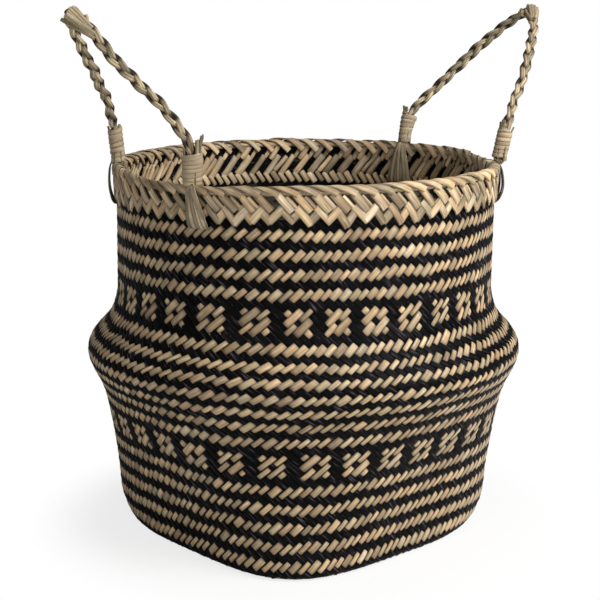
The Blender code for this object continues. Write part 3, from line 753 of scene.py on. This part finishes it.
def make_base_mat(natural_material, black_material):
    """The flat plait of the base, its strips along the diagonals of the square."""
    colours = (("natural", True, natural_material), ("black", False, black_material))
    for colour, natural, material in colours:
        ribbons = Ribbons(FLAT_STRIP_SHARES, FLAT_SHADES)
        turn = CORNER_ANGLE if natural else CORNER_ANGLE + math.pi / 2
        ahead = np.array([math.cos(turn), math.sin(turn), 0.0])
        sideways = np.array([-math.sin(turn), math.cos(turn), 0.0])
        count = int(MAT_REACH / MAT_PITCH)
        for row in range(-count, count + 1):
            cells = np.arange(-count - 1, count + 2)
            spots = cells[:, None] * MAT_PITCH * ahead + row * MAT_PITCH * sideways
            azimuth = np.arctan2(spots[:, 1], spots[:, 0])
            edge = MAT_REACH * spread(azimuth, BASE_SQUARENESS) - corner_tuck(azimuth, 0.0)
            inside = np.hypot(spots[:, 0], spots[:, 1]) < edge
            cells = cells[inside]
            if len(cells) < 3:
                continue
            first, second = (cells, row) if natural else (-row, cells)
            over = ((first + second) % 4 < 2) == natural
            at, lift, run = over_and_under(over)
            tone, tint = float_colours(run[-1] + 1, natural)
            centres = (cells[0] + at)[:, None] * MAT_PITCH * ahead + row * MAT_PITCH * sideways
            centres[:, 2] = MAT_MIDDLE - lift * WEAVE_LIFT
            ribbons.add(centres, (0.0, 0.0, -1.0), MAT_PITCH * MAT_WIDTH_SHARE, STRIP_THICKNESS,
                        tone[run], tint[run])
        piece = ribbons.build(f"base_{colour}_strips", material)
        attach(piece, "lower")
        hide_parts("base_mat")


def float_colours(count, natural):
    """A tone and a tint for each float of a strip."""
    if not natural:
        return rng.uniform(*BLACK_TONES, count), rng.uniform(0.0, 1.0, count)
    tone = np.clip(rng.normal(*NATURAL_TONE, count), *NATURAL_TONE_LIMITS)
    tone = tone * rng.uniform(*NATURAL_STRIP_SHARES)
    return tone, (rng.uniform() + rng.uniform(size=count)) / 2


def rim_dip(azimuth, height):
    """How far the rim is pulled down at an azimuth, fading out towards the foot of its border."""
    depth = 0.0
    for middle, reach, most in RIM_DIPS:
        depth = depth + most * np.exp(-((turn_from(azimuth, middle) / reach) ** 2))
    return depth * np.clip((height - BORDER_FOOT) / (RIM_TOP - BORDER_FOOT), 0.0, DIP_LIMIT_SHARE)


def rim_spot(u, radius, height):
    """A place by the rim: u half strips round from the front corner."""
    azimuth = FRONT_CORNER + np.asarray(u) / HALF_STEPS * math.tau
    height = height - rim_dip(azimuth, height)
    x, y = radius * np.cos(azimuth), radius * np.sin(azimuth)
    return np.stack(np.broadcast_arrays(x, y, height), axis=-1)


def radial(points):
    out = np.array(points, float)
    out[:, 2] = 0.0
    return unit(out)


def stitch_tone():
    """Stitches of the rim differ more in tone than the floats of the wall."""
    return rng.choice(STITCH_TONES) * rng.uniform(0.9, 1.1)


def add_stitch(ribbons, row, u, moved=(0.0, 0.0, 0.0, 0.0), raised=0.0, narrowed=1.0, inside=False):
    """One flat stitch of a row, moved by turn and height at its start and its end. Its ends dip."""
    start_turn, start_height, end_turn, end_height, out, lift, width_shares = row
    start, end = u + start_turn + moved[0], u + end_turn + moved[2]
    low, high = start_height + moved[1], end_height + moved[3]
    width = BORDER_STITCH_WIDTH * rng.uniform(*width_shares) * narrowed
    share = np.linspace(0.0, 1.0, STITCH_STEPS)
    dip = np.abs(2 * share - 1) ** DIP_POWER
    reach = lift * (1.0 - dip) + ARCH_LIFT * np.sin(share * math.pi)
    away = -1 if inside else 1
    radius = (INNER_FACE if inside else BORDER_FACE) + out + raised + away * reach
    centres = rim_spot(start + (end - start) * share, radius, low + (high - low) * share)
    # Painted highlight: the stitch is lighter towards its start
    gradient = END_HIGHLIGHT_TONES[0] + (END_HIGHLIGHT_TONES[1] - END_HIGHLIGHT_TONES[0]) * (1.0 - share)
    ribbons.add(centres, radial(centres) * away, width, STITCH_THICKNESS, stitch_tone() * gradient,
                rng.uniform())


def jitter(scale):
    return rng.normal(0.0, scale)


def add_backing(ribbons, heights, face, away, backing):
    """Flat hoops behind the stitches. away is 1 outside the wall and -1 inside it."""
    depth, width, tone, tint = backing
    turn = np.linspace(0.0, HALF_STEPS, HOOP_STEPS)
    for height in heights:
        centres = rim_spot(turn, face + depth, height)
        ribbons.add(centres, radial(centres) * away, width, BACKING_THICKNESS, tone, tint)


def make_outer_border(material):
    """The band of doubled strips outside the rim: slanting rows, with points along its lower edge, over
    dark hoops of painted shade.
    """
    ribbons = Ribbons(FLAT_STRIP_SHARES, FLAT_SHADES)
    for index in range(BORDER_UNITS):
        u = index * BORDER_UNIT + jitter(UNIT_CHANGE)
        drop = jitter(POINT_CHANGE) * MM
        raised = rng.choice(POINT_RISES) * MM
        add_stitch(ribbons, POINTS_RISING, u, (0.0, drop, jitter(RISING_CHANGE), 0.0), raised)
        add_stitch(ribbons, POINTS_FALLING, u, (0.0, 0.0, jitter(FALLING_CHANGE), drop))
        add_stitch(ribbons, TOP_SLANTS, u, (jitter(SLANT_CHANGE), 0.0, 0.0, jitter(TOP_CHANGE) * MM))
        if rng.uniform() < THIN_SHARE:
            add_stitch(ribbons, THIN_SLANTS, u)
    add_backing(ribbons, BORDER_BACKING_HEIGHTS, BORDER_FACE, 1, BORDER_BACKING)
    piece = ribbons.build("outer_border_stitches", material)
    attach(piece, "upper")
    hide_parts("rim_border")


def make_inner_border(material, dark_material):
    """The stitched band inside the rim, over a dark strip."""
    backing = Ribbons(FLAT_STRIP_SHARES, FLAT_SHADES)
    add_backing(backing, INNER_BACKING_HEIGHTS, INNER_FACE, -1, INNER_BACKING)
    dark = backing.build("inner_backing_strips", dark_material)
    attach(dark, "upper")

    ribbons = Ribbons(FLAT_STRIP_SHARES, FLAT_SHADES)
    for index in range(BORDER_UNITS):
        u = index * BORDER_UNIT + INNER_START
        for turn, width_share in INNER_TOP_PAIR:
            if rng.uniform() < MISSING_TOP_SHARE:
                continue
            moved = (turn, jitter(TOP_CHANGE) * MM, turn, 0.0)
            add_stitch(ribbons, INNER_TOPS, u, moved, narrowed=width_share, inside=True)
        moved = (0.0, jitter(INNER_SLANT_CHANGE) * MM, 0.0, 0.0)
        add_stitch(ribbons, INNER_SLANTS, u, moved, inside=True)
        if rng.uniform() < SECOND_SHARE:
            moved = (0.0, jitter(SECOND_CHANGE) * MM, 0.0, 0.0)
            add_stitch(ribbons, INNER_SECONDS, u, moved, inside=True)
        for turn, rise in INNER_POINT_PAIR:
            add_stitch(ribbons, INNER_POINTS, u, (turn, rise * MM, turn, rise * MM), inside=True)
    piece = ribbons.build("inner_border_stitches", material)
    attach(piece, "upper")
    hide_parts("inner_border")


def smooth_through(points, count):
    """Evenly spaced points on a Catmull-Rom curve through a list of points."""
    knots = np.asarray(points, float)
    ended = np.concatenate([[2 * knots[0] - knots[1]], knots, [2 * knots[-1] - knots[-2]]])
    t = np.linspace(0.0, 1.0, CURVE_STEPS, endpoint=False)[:, None]
    spans = []
    for before, start, end, after in zip(ended, ended[1:], ended[2:], ended[3:]):
        spans.append((2 * start + (end - before) * t + (2 * before - 5 * start + 4 * end - after) * t**2
                      + (3 * start - before - 3 * end + after) * t**3) / 2)
    dense = np.concatenate(spans + [knots[-1:]])
    way = way_along(dense)
    even = np.linspace(0.0, way[-1], count)
    return np.stack([np.interp(even, way, dense[:, axis]) for axis in range(dense.shape[1])], axis=1)


def make_lip(material):
    """The strips folded over the rim's edge at a slant, round a bundle of rush."""
    ribbons = Ribbons(FLAT_STRIP_SHARES, FLAT_SHADES)
    for index in range(BORDER_UNITS):
        u = index * BORDER_UNIT + jitter(LIP_TURN_CHANGE)
        bend = jitter(LIP_BEND_CHANGE) * MM
        route = [(u + turn, radius, height + bend) for turn, radius, height in LIP_ROUTE]
        spots = smooth_through(route, LIP_STEPS)
        centres = rim_spot(spots[:, 0], spots[:, 1], spots[:, 2])
        out = radial(centres)
        swing = np.clip((spots[:, 1] - RIM_MIDDLE) / LIP_HALF_WIDTH, -1.0, 1.0)
        up = out * swing[:, None] + np.array([0.0, 0.0, 1.0]) * np.sqrt(1.0 - swing**2)[:, None]
        width = LIP_STITCH_WIDTH * rng.uniform(*LIP_WIDTH_SHARES)
        ribbons.add(centres, up, width, STITCH_THICKNESS, stitch_tone() * LIP_TONE_SHARE, rng.uniform())
    piece = ribbons.build("lip_strips", material)
    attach(piece, "upper")
    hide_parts("rim_lip")

    bundle = Ribbons(ROUND_STRAND_SHARES)
    turn = np.linspace(0.0, HALF_STEPS + RIM_BUNDLE_LAP, RIM_BUNDLE_STEPS)
    centres = rim_spot(turn, RIM_MIDDLE, RIM_TOP - RIM_BUNDLE_DEPTH)
    bundle.add(centres, radial(centres), *RIM_BUNDLE_SIZE, tone=0.62, tint=0.2)
    core = bundle.build("rim_bundle", material)
    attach(core, "upper")


def handle_route(side):
    """The middle line of a handle, from its front foot over the top to its back foot."""
    arch = HANDLE_ARCHES[side]
    front = np.array(HANDLE_FEET[f"{side}_front"] + arch, float) * (1, -1, 1)
    back = np.array(HANDLE_FEET[f"{side}_back"] + arch[:-1], float)
    return smooth_through(np.concatenate([front, back[::-1]]) * MM, ROUTE_STEPS)


def route_frame(route):
    """Along each point of a route: the way ahead, the braid's face, and the way across it."""
    ahead = unit(np.gradient(route, axis=0))
    face = unit(BRAID_FACING - ahead * (ahead @ BRAID_FACING)[:, None])
    return ahead, face, np.cross(ahead, face)



def wave_along(way, wave, start):
    size, length = wave
    return size * np.sin(way / length + start)


def changing(way, count, limits):
    """Values drawn between limits at even places, and carried over to every point of a way."""
    return np.interp(way, np.linspace(0.0, way[-1], count), rng.uniform(*limits, count))


def make_braid(side, material):
    """Three bundles of rush, plaited, each drawn in where its leg is bound."""
    route = handle_route(side)
    way = way_along(route)
    _, face, across = route_frame(route)
    front_top, back_top = BINDINGS[f"{side}_front"][1], BINDINGS[f"{side}_back"][1]
    from_front = smoothstep(front_top - OPEN_BEFORE, front_top + OPEN_AFTER, way)
    from_back = smoothstep(back_top - OPEN_BEFORE, back_top + OPEN_AFTER, way[-1] - way)
    open_share = BOUND_SHARE + (1.0 - BOUND_SHARE) * from_front * from_back
    ribbons = Ribbons(BUNDLE_SHARES, BUNDLE_SHADES)
    for bundle in range(BRAID_STRANDS):
        phase = math.tau * (way / BRAID_PERIOD + bundle / BRAID_STRANDS)
        phase = phase + wave_along(way, PHASE_WAVE, bundle)
        sideways = BRAID_HALF_WIDTH * np.sin(phase) * open_share
        depth = BRAID_HALF_DEPTH * np.sin(2 * phase) * open_share
        middle = route + across * sideways[:, None] + face * depth[:, None]
        roll = wave_along(way, ROLL_WAVE, bundle * 2.0)
        facing = face * np.cos(roll)[:, None] + across * np.sin(roll)[:, None]
        swell = 1.0 + wave_along(way, SWELL_WAVE, bundle)
        # Painted shade where the bundle passes under the others
        shade = BUNDLE_TONES[bundle] * (UNDER_SHADE_TONE + smoothstep(*UNDER_SHADE_FADE, np.sin(2 * phase)))
        patch = changing(way, PATCHES, PATCH_TONES)
        tint = changing(way, TINT_CHANGES, (0.0, 1.0))
        width = BUNDLE_WIDTH * swell * (BOUND_WIDTH_SHARE + (1.0 - BOUND_WIDTH_SHARE) * open_share)
        ribbons.add(middle, facing, width, BUNDLE_THICKNESS * swell, shade * patch, tint)
    piece = ribbons.build(f"{side}_handle_strands", material)
    blend_foot(piece)
    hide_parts(f"{side}_handle_braid")


def blend_foot(piece):
    """Bakes a strand's placement into its mesh."""
    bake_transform(piece)


def make_apex_ends(side, material):
    """The cut ends where the handle's two halves are plaited into each other at the top."""
    route = handle_route(side)
    way = way_along(route)
    ahead, face, across = route_frame(route)
    ribbons = Ribbons(ROUND_STRAND_SHARES)
    share = np.linspace(0.0, 1.0, APEX_STEPS)[:, None]
    for at, turn, length, lean in APEX_ENDS[side]:
        step = np.searchsorted(way, way[-1] / 2 + at * MM)
        out = across[step] * math.cos(turn) + face[step] * math.sin(turn)
        tip = unit(out + ahead[step] * lean)
        start = route[step] + out * APEX_OUT - tip * APEX_ROOT
        bend = out * np.sin(share * math.pi / 2) * APEX_BEND
        for stem in range(APEX_STEMS):
            beside = np.cross(tip, out) * (stem - 1.0) * APEX_STEM_SPACING
            reach = share * (length + rng.uniform(*APEX_LENGTH_CHANGE)) * MM
            centres = start + beside + tip * reach + bend
            ribbons.add(centres, face[step] + out * 0.1, APEX_WIDTH, APEX_THICKNESS,
                        rng.uniform(0.6, 1.2), rng.uniform())
    piece = ribbons.build(f"{side}_handle_cut_ends", material)
    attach(piece, f"{side}_handle")


def foot_way(side, end):
    """The stretch of a handle's route from one foot up, with its frame."""
    route = handle_route(side)
    if end == "back":
        route = route[::-1]
    keep = way_along(route) < FOOT_REACH
    return route[keep], way_along(route)[keep]


def make_binding(side, end, material):
    """A flat strand wound round the foot of a leg, each turn lapping over the one below."""
    route, way = foot_way(side, end)
    ahead, face, across = route_frame(route)
    bottom, top, bottom_half, top_half = BINDINGS[f"{side}_{end}"]
    share = np.linspace(0.0, 1.0, BINDING_TURNS * BINDING_TURN_STEPS + 1)
    along = bottom + share * (top - bottom)
    angle = share * BINDING_TURNS * math.tau + rng.uniform(0.0, math.tau)
    half_turns = np.linspace(0.0, 1.0, BINDING_TURNS * 2 + 1)
    wobble = np.interp(share, half_turns, rng.normal(0.0, BINDING_WOBBLE, len(half_turns))) * MM
    half_width = bottom_half + (top_half - bottom_half) * share + wobble
    half_depth = BINDING_HALF_DEPTH + wobble

    def on_route(values):
        return np.stack([np.interp(along, way, values[:, axis]) for axis in range(3)], axis=1)

    forward = np.cos(angle)[:, None]
    sideways = np.sin(angle)[:, None]
    centres = (on_route(route) + on_route(face) * forward * half_depth[:, None]
               + on_route(across) * sideways * half_width[:, None])
    out = on_route(face) * forward / half_depth[:, None]
    out = unit(out + on_route(across) * sideways / half_width[:, None])
    tilt = unit(out + on_route(ahead) * BINDING_TILT)
    ribbons = Ribbons(FLAT_STRIP_SHARES, SOFT_SHADES)
    tone = changing(share, BINDING_TURNS + 1, BINDING_TONES)
    width = changing(share, len(half_turns), BINDING_WIDTHS) * MM
    ribbons.add(centres, tilt, width, BINDING_THICKNESS, tone, BINDING_TINT)
    piece = ribbons.build(f"{side}_{end}_binding_strand", material)
    blend_foot(piece)
    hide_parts(f"{side}_{end}_binding")


def make_stubs(side, end, material):
    """The cut ends of the foot's strands, standing above the binding."""
    route, way = foot_way(side, end)
    ahead, face, across = route_frame(route)
    ribbons = Ribbons(FLAT_STRIP_SHARES, FLAT_SHADES)
    for turn, length, splay in STUBS[f"{side}_{end}"]:
        first = np.searchsorted(way, BINDINGS[f"{side}_{end}"][1] - STUB_ROOT * MM)
        out = CAMERA_RIGHT * math.cos(turn) + BRAID_FACING * math.sin(turn)
        out = unit(out - ahead[first] * (ahead[first] @ out))
        share = np.linspace(0.0, 1.0, STUB_STEPS)[:, None]
        rise = (STUB_ROOT + length) * MM
        half = BINDINGS[f"{side}_{end}"][3]
        beside = across[first] * (out @ across[first]) * half
        beside = beside + face[first] * (out @ face[first]) * BINDING_HALF_DEPTH
        centres = route[first] + beside * STUB_INSET_SHARE + ahead[first] * share * rise
        centres = centres + out * (share**2) * splay * MM
        width = STUB_WIDTH * rng.uniform(0.7, 1.1)
        ribbons.add(centres, out, width, STUB_THICKNESS, rng.uniform(0.8, 1.1), rng.uniform())
    piece = ribbons.build(f"{side}_{end}_cut_strands", material)
    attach(piece, f"{side}_handle")
    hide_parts(f"{side}_{end}_stub")


def strand_knots(core, beside, azimuth, lean, stops):
    """Places of a foot's strand: down its leg, then past stops given as (share of lean, radius, height)."""
    knots = [core[-1] + beside, core[len(core) // 2] + beside, core[0] + beside]
    for lean_share, radius, height in stops:
        turn = azimuth + lean * lean_share
        height = height - rim_dip(turn, height)
        knots.append((radius * math.cos(turn), radius * math.sin(turn), height))
    return knots


def make_foot_strands(side, end, material):
    """The strands of a foot: flat loops over the rim outside, and a fan of them inside."""
    route, way = foot_way(side, end)
    away = FOOT_AWAY[f"{side}_{end}"]
    azimuth = FOOT_AZIMUTH[f"{side}_{end}"]
    bow = LOOP_BOWS[f"{side}_{end}"]
    outward = np.array([math.cos(azimuth), math.sin(azimuth), 0.0]) * LOOP_STAND
    sideways = np.array([-math.sin(azimuth), math.cos(azimuth), 0.0]) * away * FOOT_HALF_SPREAD
    core = route[:np.searchsorted(way, CORE_REACH):CORE_STEP]
    loops = Ribbons(FLAT_STRIP_SHARES, FLAT_SHADES)
    along = np.linspace(0.0, 1.0, LOOP_STEPS)
    shade = np.interp(along, LOOP_FADE_SHARES, (1.0, LOOP_TONES[f"{side}_{end}"]))
    for strand, (spread_angle, bow_share, width, tone) in enumerate(LOOP_STRANDS):
        beside = outward + sideways * (1.0 - 2.0 * strand / (len(LOOP_STRANDS) - 1))
        stops = []
        for lean_share, radius, height in OUTER_ROUTE:
            down_share = min(1.0, max(0.0, (BEND_BOTTOM - height) / BOW_HEIGHT))
            stops.append((lean_share, radius + bow * bow_share * math.sin(math.pi * down_share), height))
        knots = strand_knots(core, beside, azimuth, away * math.radians(spread_angle), stops)
        centres = smooth_through(knots, LOOP_STEPS)
        loops.add(centres, radial(centres) + STRAND_TILT, width * MM * rng.uniform(0.9, 1.1),
                  STRAND_THICKNESS, shade * tone * rng.uniform(0.9, 1.1), rng.uniform())
    finish_foot(loops, f"{side}_{end}_loop", f"{side}_{end}_loop_strands", material)

    fan = Ribbons(FLAT_STRIP_SHARES, FLAT_SHADES)
    for strand in range(FAN_STRANDS):
        spread_share = strand / (FAN_STRANDS - 1) - 0.5
        beside = sideways * 2.0 * away * spread_share - outward
        back = FAN_STEP_BACK * (strand % 2)
        stops = [(lean_share, radius - back, height) for lean_share, radius, height in INNER_ROUTE]
        knots = strand_knots(core, beside, azimuth, math.radians(spread_share * FAN_SPREAD), stops)
        centres = smooth_through(knots, FAN_STEPS)
        fan.add(centres, -radial(centres) + STRAND_TILT, FAN_WIDTH * rng.uniform(0.8, 1.1),
                STRAND_THICKNESS, rng.uniform(0.7, 1.05), rng.uniform())
    finish_foot(fan, f"{side}_{end}_tail", f"{side}_{end}_tail_strands", material)


def finish_foot(ribbons, node, name, material):
    piece = ribbons.build(name, material)
    blend_foot(piece)
    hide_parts(node)


# Grain of the rush and its painted glints: how fine its noises are, and the ranges of them that show
STREAK_SCALE = 45.0
BLOTCH_SCALE = (90.0, 240.0, 1.0)
PAINTED_GLINT_SCALE = 70.0
PAINTED_GLINT_SHARE = 0.7
PAINTED_GLINT_ASIDE = (3.1, 7.7, 0.0)
STREAK_RANGE = (0.25, 0.75)
BLOTCH_RANGE = (0.3, 0.7)
BLOTCH_LIGHT = (0.86, 1.10)
PAINTED_GLINT_RANGE = (0.56, 0.74)
BLACKENED_COLOUR = (12, 10, 10)
RELIEF_STRENGTH = 0.2
RELIEF_DEPTH = 0.15 * MM
ROUGHNESS_CHANGE = 0.1


def new_material(name):
    material = bpy.data.materials.new(name)
    material.use_nodes = True
    tree = material.node_tree
    return material, tree, tree.nodes["Principled BSDF"]


def add_node(tree, kind, **values):
    node = tree.nodes.new(kind)
    for name, value in values.items():
        setattr(node, name, value)
    return node


def noise_at(tree, place, scale, aside=(0.0, 0.0, 0.0)):
    """Noise at a place on the fibre map, stretched by a scale and moved aside."""
    stretch = add_node(tree, "ShaderNodeMapping")
    stretch.inputs["Scale"].default_value = scale
    stretch.inputs["Location"].default_value = aside
    tree.links.new(place, stretch.inputs["Vector"])
    noise = add_node(tree, "ShaderNodeTexNoise")
    noise.inputs["Scale"].default_value = 1.0
    noise.inputs["Detail"].default_value = 2.0
    tree.links.new(stretch.outputs["Vector"], noise.inputs["Vector"])
    return noise.outputs["Fac"]


def remapped(tree, value, start=(0.0, 1.0), result=(0.0, 1.0), kind="LINEAR"):
    """A value carried over from one range to another."""
    node = add_node(tree, "ShaderNodeMapRange", interpolation_type=kind)
    for name, limit in zip(("From Min", "From Max", "To Min", "To Max"), start + result):
        node.inputs[name].default_value = limit
    tree.links.new(value, node.inputs["Value"])
    return node.outputs["Result"]


def combined(tree, operation, first, second, clamp=False):
    node = add_node(tree, "ShaderNodeMath", operation=operation, use_clamp=clamp)
    tree.links.new(first, node.inputs[0])
    tree.links.new(second, node.inputs[1])
    return node.outputs["Value"]


def laid_over(tree, colour, share, top_colour):
    """A colour with another laid over it by a share."""
    node = add_node(tree, "ShaderNodeMix", data_type="RGBA")
    tree.links.new(share, node.inputs["Factor"])
    tree.links.new(colour, node.inputs[6])
    node.inputs[7].default_value = srgb(*top_colour)
    return node.outputs[2]


def srgb(*values):
    """A colour given as 0 to 255, as the shader needs it."""
    shares = [value / 255 for value in values]
    linear = [s / 12.92 if s <= 0.04045 else ((s + 0.055) / 1.055) ** 2.4 for s in shares]
    return (*linear, 1.0)


def rush_material(name, tints, painted_sheen_colour, painted_sheen_share, roughness, streak=0.42, specular=0.3,
                  fineness=900.0):
    """Split rush: a tint for each stitch, streaks along the fibre with a pale painted sheen standing in for
    highlights, and a soft gloss.
    """
    material, tree, shader = new_material(name)
    link = tree.links.new
    tint, tone, black = [add_node(tree, "ShaderNodeAttribute", attribute_name=mark).outputs["Fac"]
                         for mark in ("tint", "tone", "black")]
    ramp = add_node(tree, "ShaderNodeValToRGB")
    elements = ramp.color_ramp.elements
    while len(elements) < len(tints):
        elements.new(0.5)
    for index, colour in enumerate(tints):
        elements[index].position = index / (len(tints) - 1)
        elements[index].color = srgb(*colour)
    link(tint, ramp.inputs["Fac"])

    fibre = add_node(tree, "ShaderNodeUVMap", uv_map="Fibre").outputs["UV"]
    streaks = noise_at(tree, fibre, (STREAK_SCALE, fineness, 1.0))
    blotches = noise_at(tree, fibre, BLOTCH_SCALE)
    painted_glints = noise_at(tree, fibre, (PAINTED_GLINT_SCALE, PAINTED_GLINT_SHARE * fineness, 1.0), PAINTED_GLINT_ASIDE)
    streak_light = remapped(tree, streaks, STREAK_RANGE, (1.0 - streak, 1.0 + streak))
    blotch_light = remapped(tree, blotches, BLOTCH_RANGE, BLOTCH_LIGHT)
    toned = combined(tree, "MULTIPLY", combined(tree, "MULTIPLY", streak_light, blotch_light), tone)
    scaled = add_node(tree, "ShaderNodeVectorMath", operation="SCALE")
    link(ramp.outputs["Color"], scaled.inputs[0])
    link(toned, scaled.inputs["Scale"])
    # Painted sheen: pale glints laid into the colour as painted highlights, fainter where the tone is low
    sheen = remapped(tree, painted_glints, PAINTED_GLINT_RANGE, (0.0, painted_sheen_share), "SMOOTHSTEP")
    sheen = combined(tree, "MULTIPLY", sheen, tone, clamp=True)
    shiny = laid_over(tree, scaled.outputs["Vector"], sheen, painted_sheen_colour)
    link(laid_over(tree, shiny, black, BLACKENED_COLOUR), shader.inputs["Base Color"])

    relief = add_node(tree, "ShaderNodeBump")
    relief.inputs["Strength"].default_value = RELIEF_STRENGTH
    relief.inputs["Distance"].default_value = RELIEF_DEPTH
    link(streaks, relief.inputs["Height"])
    link(relief.outputs["Normal"], shader.inputs["Normal"])
    gloss = (roughness - ROUGHNESS_CHANGE, roughness + ROUGHNESS_CHANGE)
    link(remapped(tree, blotches, result=gloss), shader.inputs["Roughness"])
    shader.inputs["Specular IOR Level"].default_value = specular
    return material


# Camera: above the rim, looking a little down. The size of its sensor and its lens are in millimetres
CAMERA_AZIMUTH = math.radians(59.5)
CAMERA_PITCH = math.radians(12.33)
CAMERA_DISTANCE = 1.2
CAMERA_ABOVE_RIM = 0.1485
CAMERA_SIDE_STEP = -0.0028
SENSOR_WIDTH = 36.0
FOCAL_LENGTH = 90.8

# Lights: turn from the camera's side and elevation in degrees, distance, size and power
LIGHTS = {"key": (56, 38, 1.6, 0.9, 32.0), "front": (-10, 30, 1.8, 1.3, 5.0)}
LIGHT_COLOUR = (1.0, 0.99, 0.98)
FILL_STRENGTH = 0.24

# Floor: it fades into the white background between two distances from the middle
FLOOR_REACH = 4.0
FLOOR_COLOUR = (0.86, 0.86, 0.86, 1.0)
FLOOR_FADE = (0.155, 0.235)
SHADOW_SOFTENING = 0.78
WHITE = (1.0, 1.0, 1.0, 1.0)


def make_camera():
    camera = bpy.data.cameras.new("camera")
    camera.sensor_width = SENSOR_WIDTH
    camera.lens = FOCAL_LENGTH
    holder = bpy.data.objects.new("camera", camera)
    ahead = Vector((math.cos(CAMERA_AZIMUTH), math.sin(CAMERA_AZIMUTH), 0.0))
    right = Vector((math.sin(CAMERA_AZIMUTH), -math.cos(CAMERA_AZIMUTH), 0.0))
    spot = right * CAMERA_SIDE_STEP - ahead * CAMERA_DISTANCE
    holder.location = (spot.x, spot.y, RIM_TOP + CAMERA_ABOVE_RIM)
    holder.rotation_euler = (math.pi / 2 - CAMERA_PITCH, 0.0, CAMERA_AZIMUTH - math.pi / 2)
    bpy.context.scene.collection.objects.link(holder)
    bpy.context.scene.camera = holder


def add_softbox(name, azimuth, elevation, distance, size, power):
    """A square soft light, aimed at the middle of the basket. Azimuth is where it stands."""
    lamp = bpy.data.lights.new(name, "AREA")
    lamp.shape = "SQUARE"
    lamp.size = size
    lamp.energy = power
    lamp.color = LIGHT_COLOUR
    holder = bpy.data.objects.new(name, lamp)
    flat = math.cos(elevation) * distance
    spot = Vector((flat * math.cos(azimuth), flat * math.sin(azimuth), math.sin(elevation) * distance))
    holder.location = Vector((0.0, 0.0, RIM_TOP / 2)) + spot
    holder.rotation_euler = spot.to_track_quat("Z", "Y").to_euler()
    bpy.context.scene.collection.objects.link(holder)


def make_light():
    world = bpy.data.worlds.new("studio")
    bpy.context.scene.world = world
    world.use_nodes = True
    tree = world.node_tree
    shader = tree.nodes["Background"]
    path = add_node(tree, "ShaderNodeLightPath")
    seen = combined(tree, "MAXIMUM", path.outputs["Is Camera Ray"], path.outputs["Is Transmission Ray"])
    tree.links.new(remapped(tree, seen, result=(FILL_STRENGTH, 1.0)), shader.inputs["Strength"])
    shader.inputs["Color"].default_value = WHITE
    camera_side = CAMERA_AZIMUTH - math.pi
    for name, (turn, elevation, distance, size, power) in LIGHTS.items():
        add_softbox(name, camera_side + math.radians(turn), math.radians(elevation), distance, size, power)


def make_floor():
    """A pale floor, which fades into the white background away from the basket."""
    mesh = bpy.data.meshes.new("floor")
    corners = [(x * FLOOR_REACH, y * FLOOR_REACH, 0) for x, y in ((-1, -1), (1, -1), (1, 1), (-1, 1))]
    mesh.from_pydata(corners, [], [(0, 1, 2, 3)])
    floor = bpy.data.objects.new("floor", mesh)
    bpy.context.scene.collection.objects.link(floor)
    material, tree, shader = new_material("pale_floor")
    link = tree.links.new
    shader.inputs["Base Color"].default_value = FLOOR_COLOUR
    shader.inputs["Roughness"].default_value = 0.9
    shader.inputs["Specular IOR Level"].default_value = 0.1
    white = add_node(tree, "ShaderNodeEmission")
    white.inputs["Color"].default_value = WHITE
    place = add_node(tree, "ShaderNodeTexCoord")
    away = add_node(tree, "ShaderNodeVectorMath", operation="LENGTH")
    link(place.outputs["Object"], away.inputs[0])
    fade = remapped(tree, away.outputs["Value"], FLOOR_FADE, (SHADOW_SOFTENING, 1.0), "SMOOTHSTEP")
    path = add_node(tree, "ShaderNodeLightPath")
    mixed = add_node(tree, "ShaderNodeMixShader")
    link(combined(tree, "MULTIPLY", fade, path.outputs["Is Camera Ray"]), mixed.inputs["Fac"])
    link(shader.outputs["BSDF"], mixed.inputs[1])
    link(white.outputs["Emission"], mixed.inputs[2])
    link(mixed.outputs["Shader"], tree.nodes["Material Output"].inputs["Surface"])
    mesh.materials.append(material)


NATURAL_TINTS = ((184, 160, 128), (196, 172, 136), (180, 160, 124), (202, 170, 130), (168, 144, 112),
                 (206, 186, 154))
HANDLE_TINTS = ((158, 142, 114), (142, 130, 102), (174, 157, 128), (150, 132, 106), (168, 152, 118))
BLACK_TINTS = ((9, 8, 8), (13, 11, 12), (8, 7, 8), (17, 15, 17))
# Colours of the painted sheen: pale glints that stand in for highlights
NATURAL_PAINTED_SHEEN = (232, 218, 194)
BLACK_PAINTED_SHEEN = (88, 82, 90)

make_camera()
bpy.context.scene.view_settings.view_transform = "Standard"
natural = rush_material("natural_rush_strips", NATURAL_TINTS, NATURAL_PAINTED_SHEEN, 0.55, roughness=0.5)
black = rush_material("black_rush_strips", BLACK_TINTS, BLACK_PAINTED_SHEEN, 0.8, roughness=0.55, streak=0.5,
                      specular=0.05)
wall = Wall()
NATURAL_WIDTHS = strip_widths()
BLACK_WIDTHS = strip_widths()
make_wall(wall, natural, black)
make_base_mat(natural, black)
make_outer_border(natural)
make_inner_border(natural, black)
make_lip(natural)
handle_rush = rush_material("handle_rush_strands", HANDLE_TINTS, NATURAL_PAINTED_SHEEN, 0.45, roughness=0.65,
                            streak=0.4, fineness=420.0)
for side in ("left", "right"):
    make_braid(side, handle_rush)
    make_apex_ends(side, handle_rush)
for side, end in FEET:
    make_binding(side, end, handle_rush)
    make_stubs(side, end, handle_rush)
    make_foot_strands(side, end, handle_rush)
make_light()
make_floor()
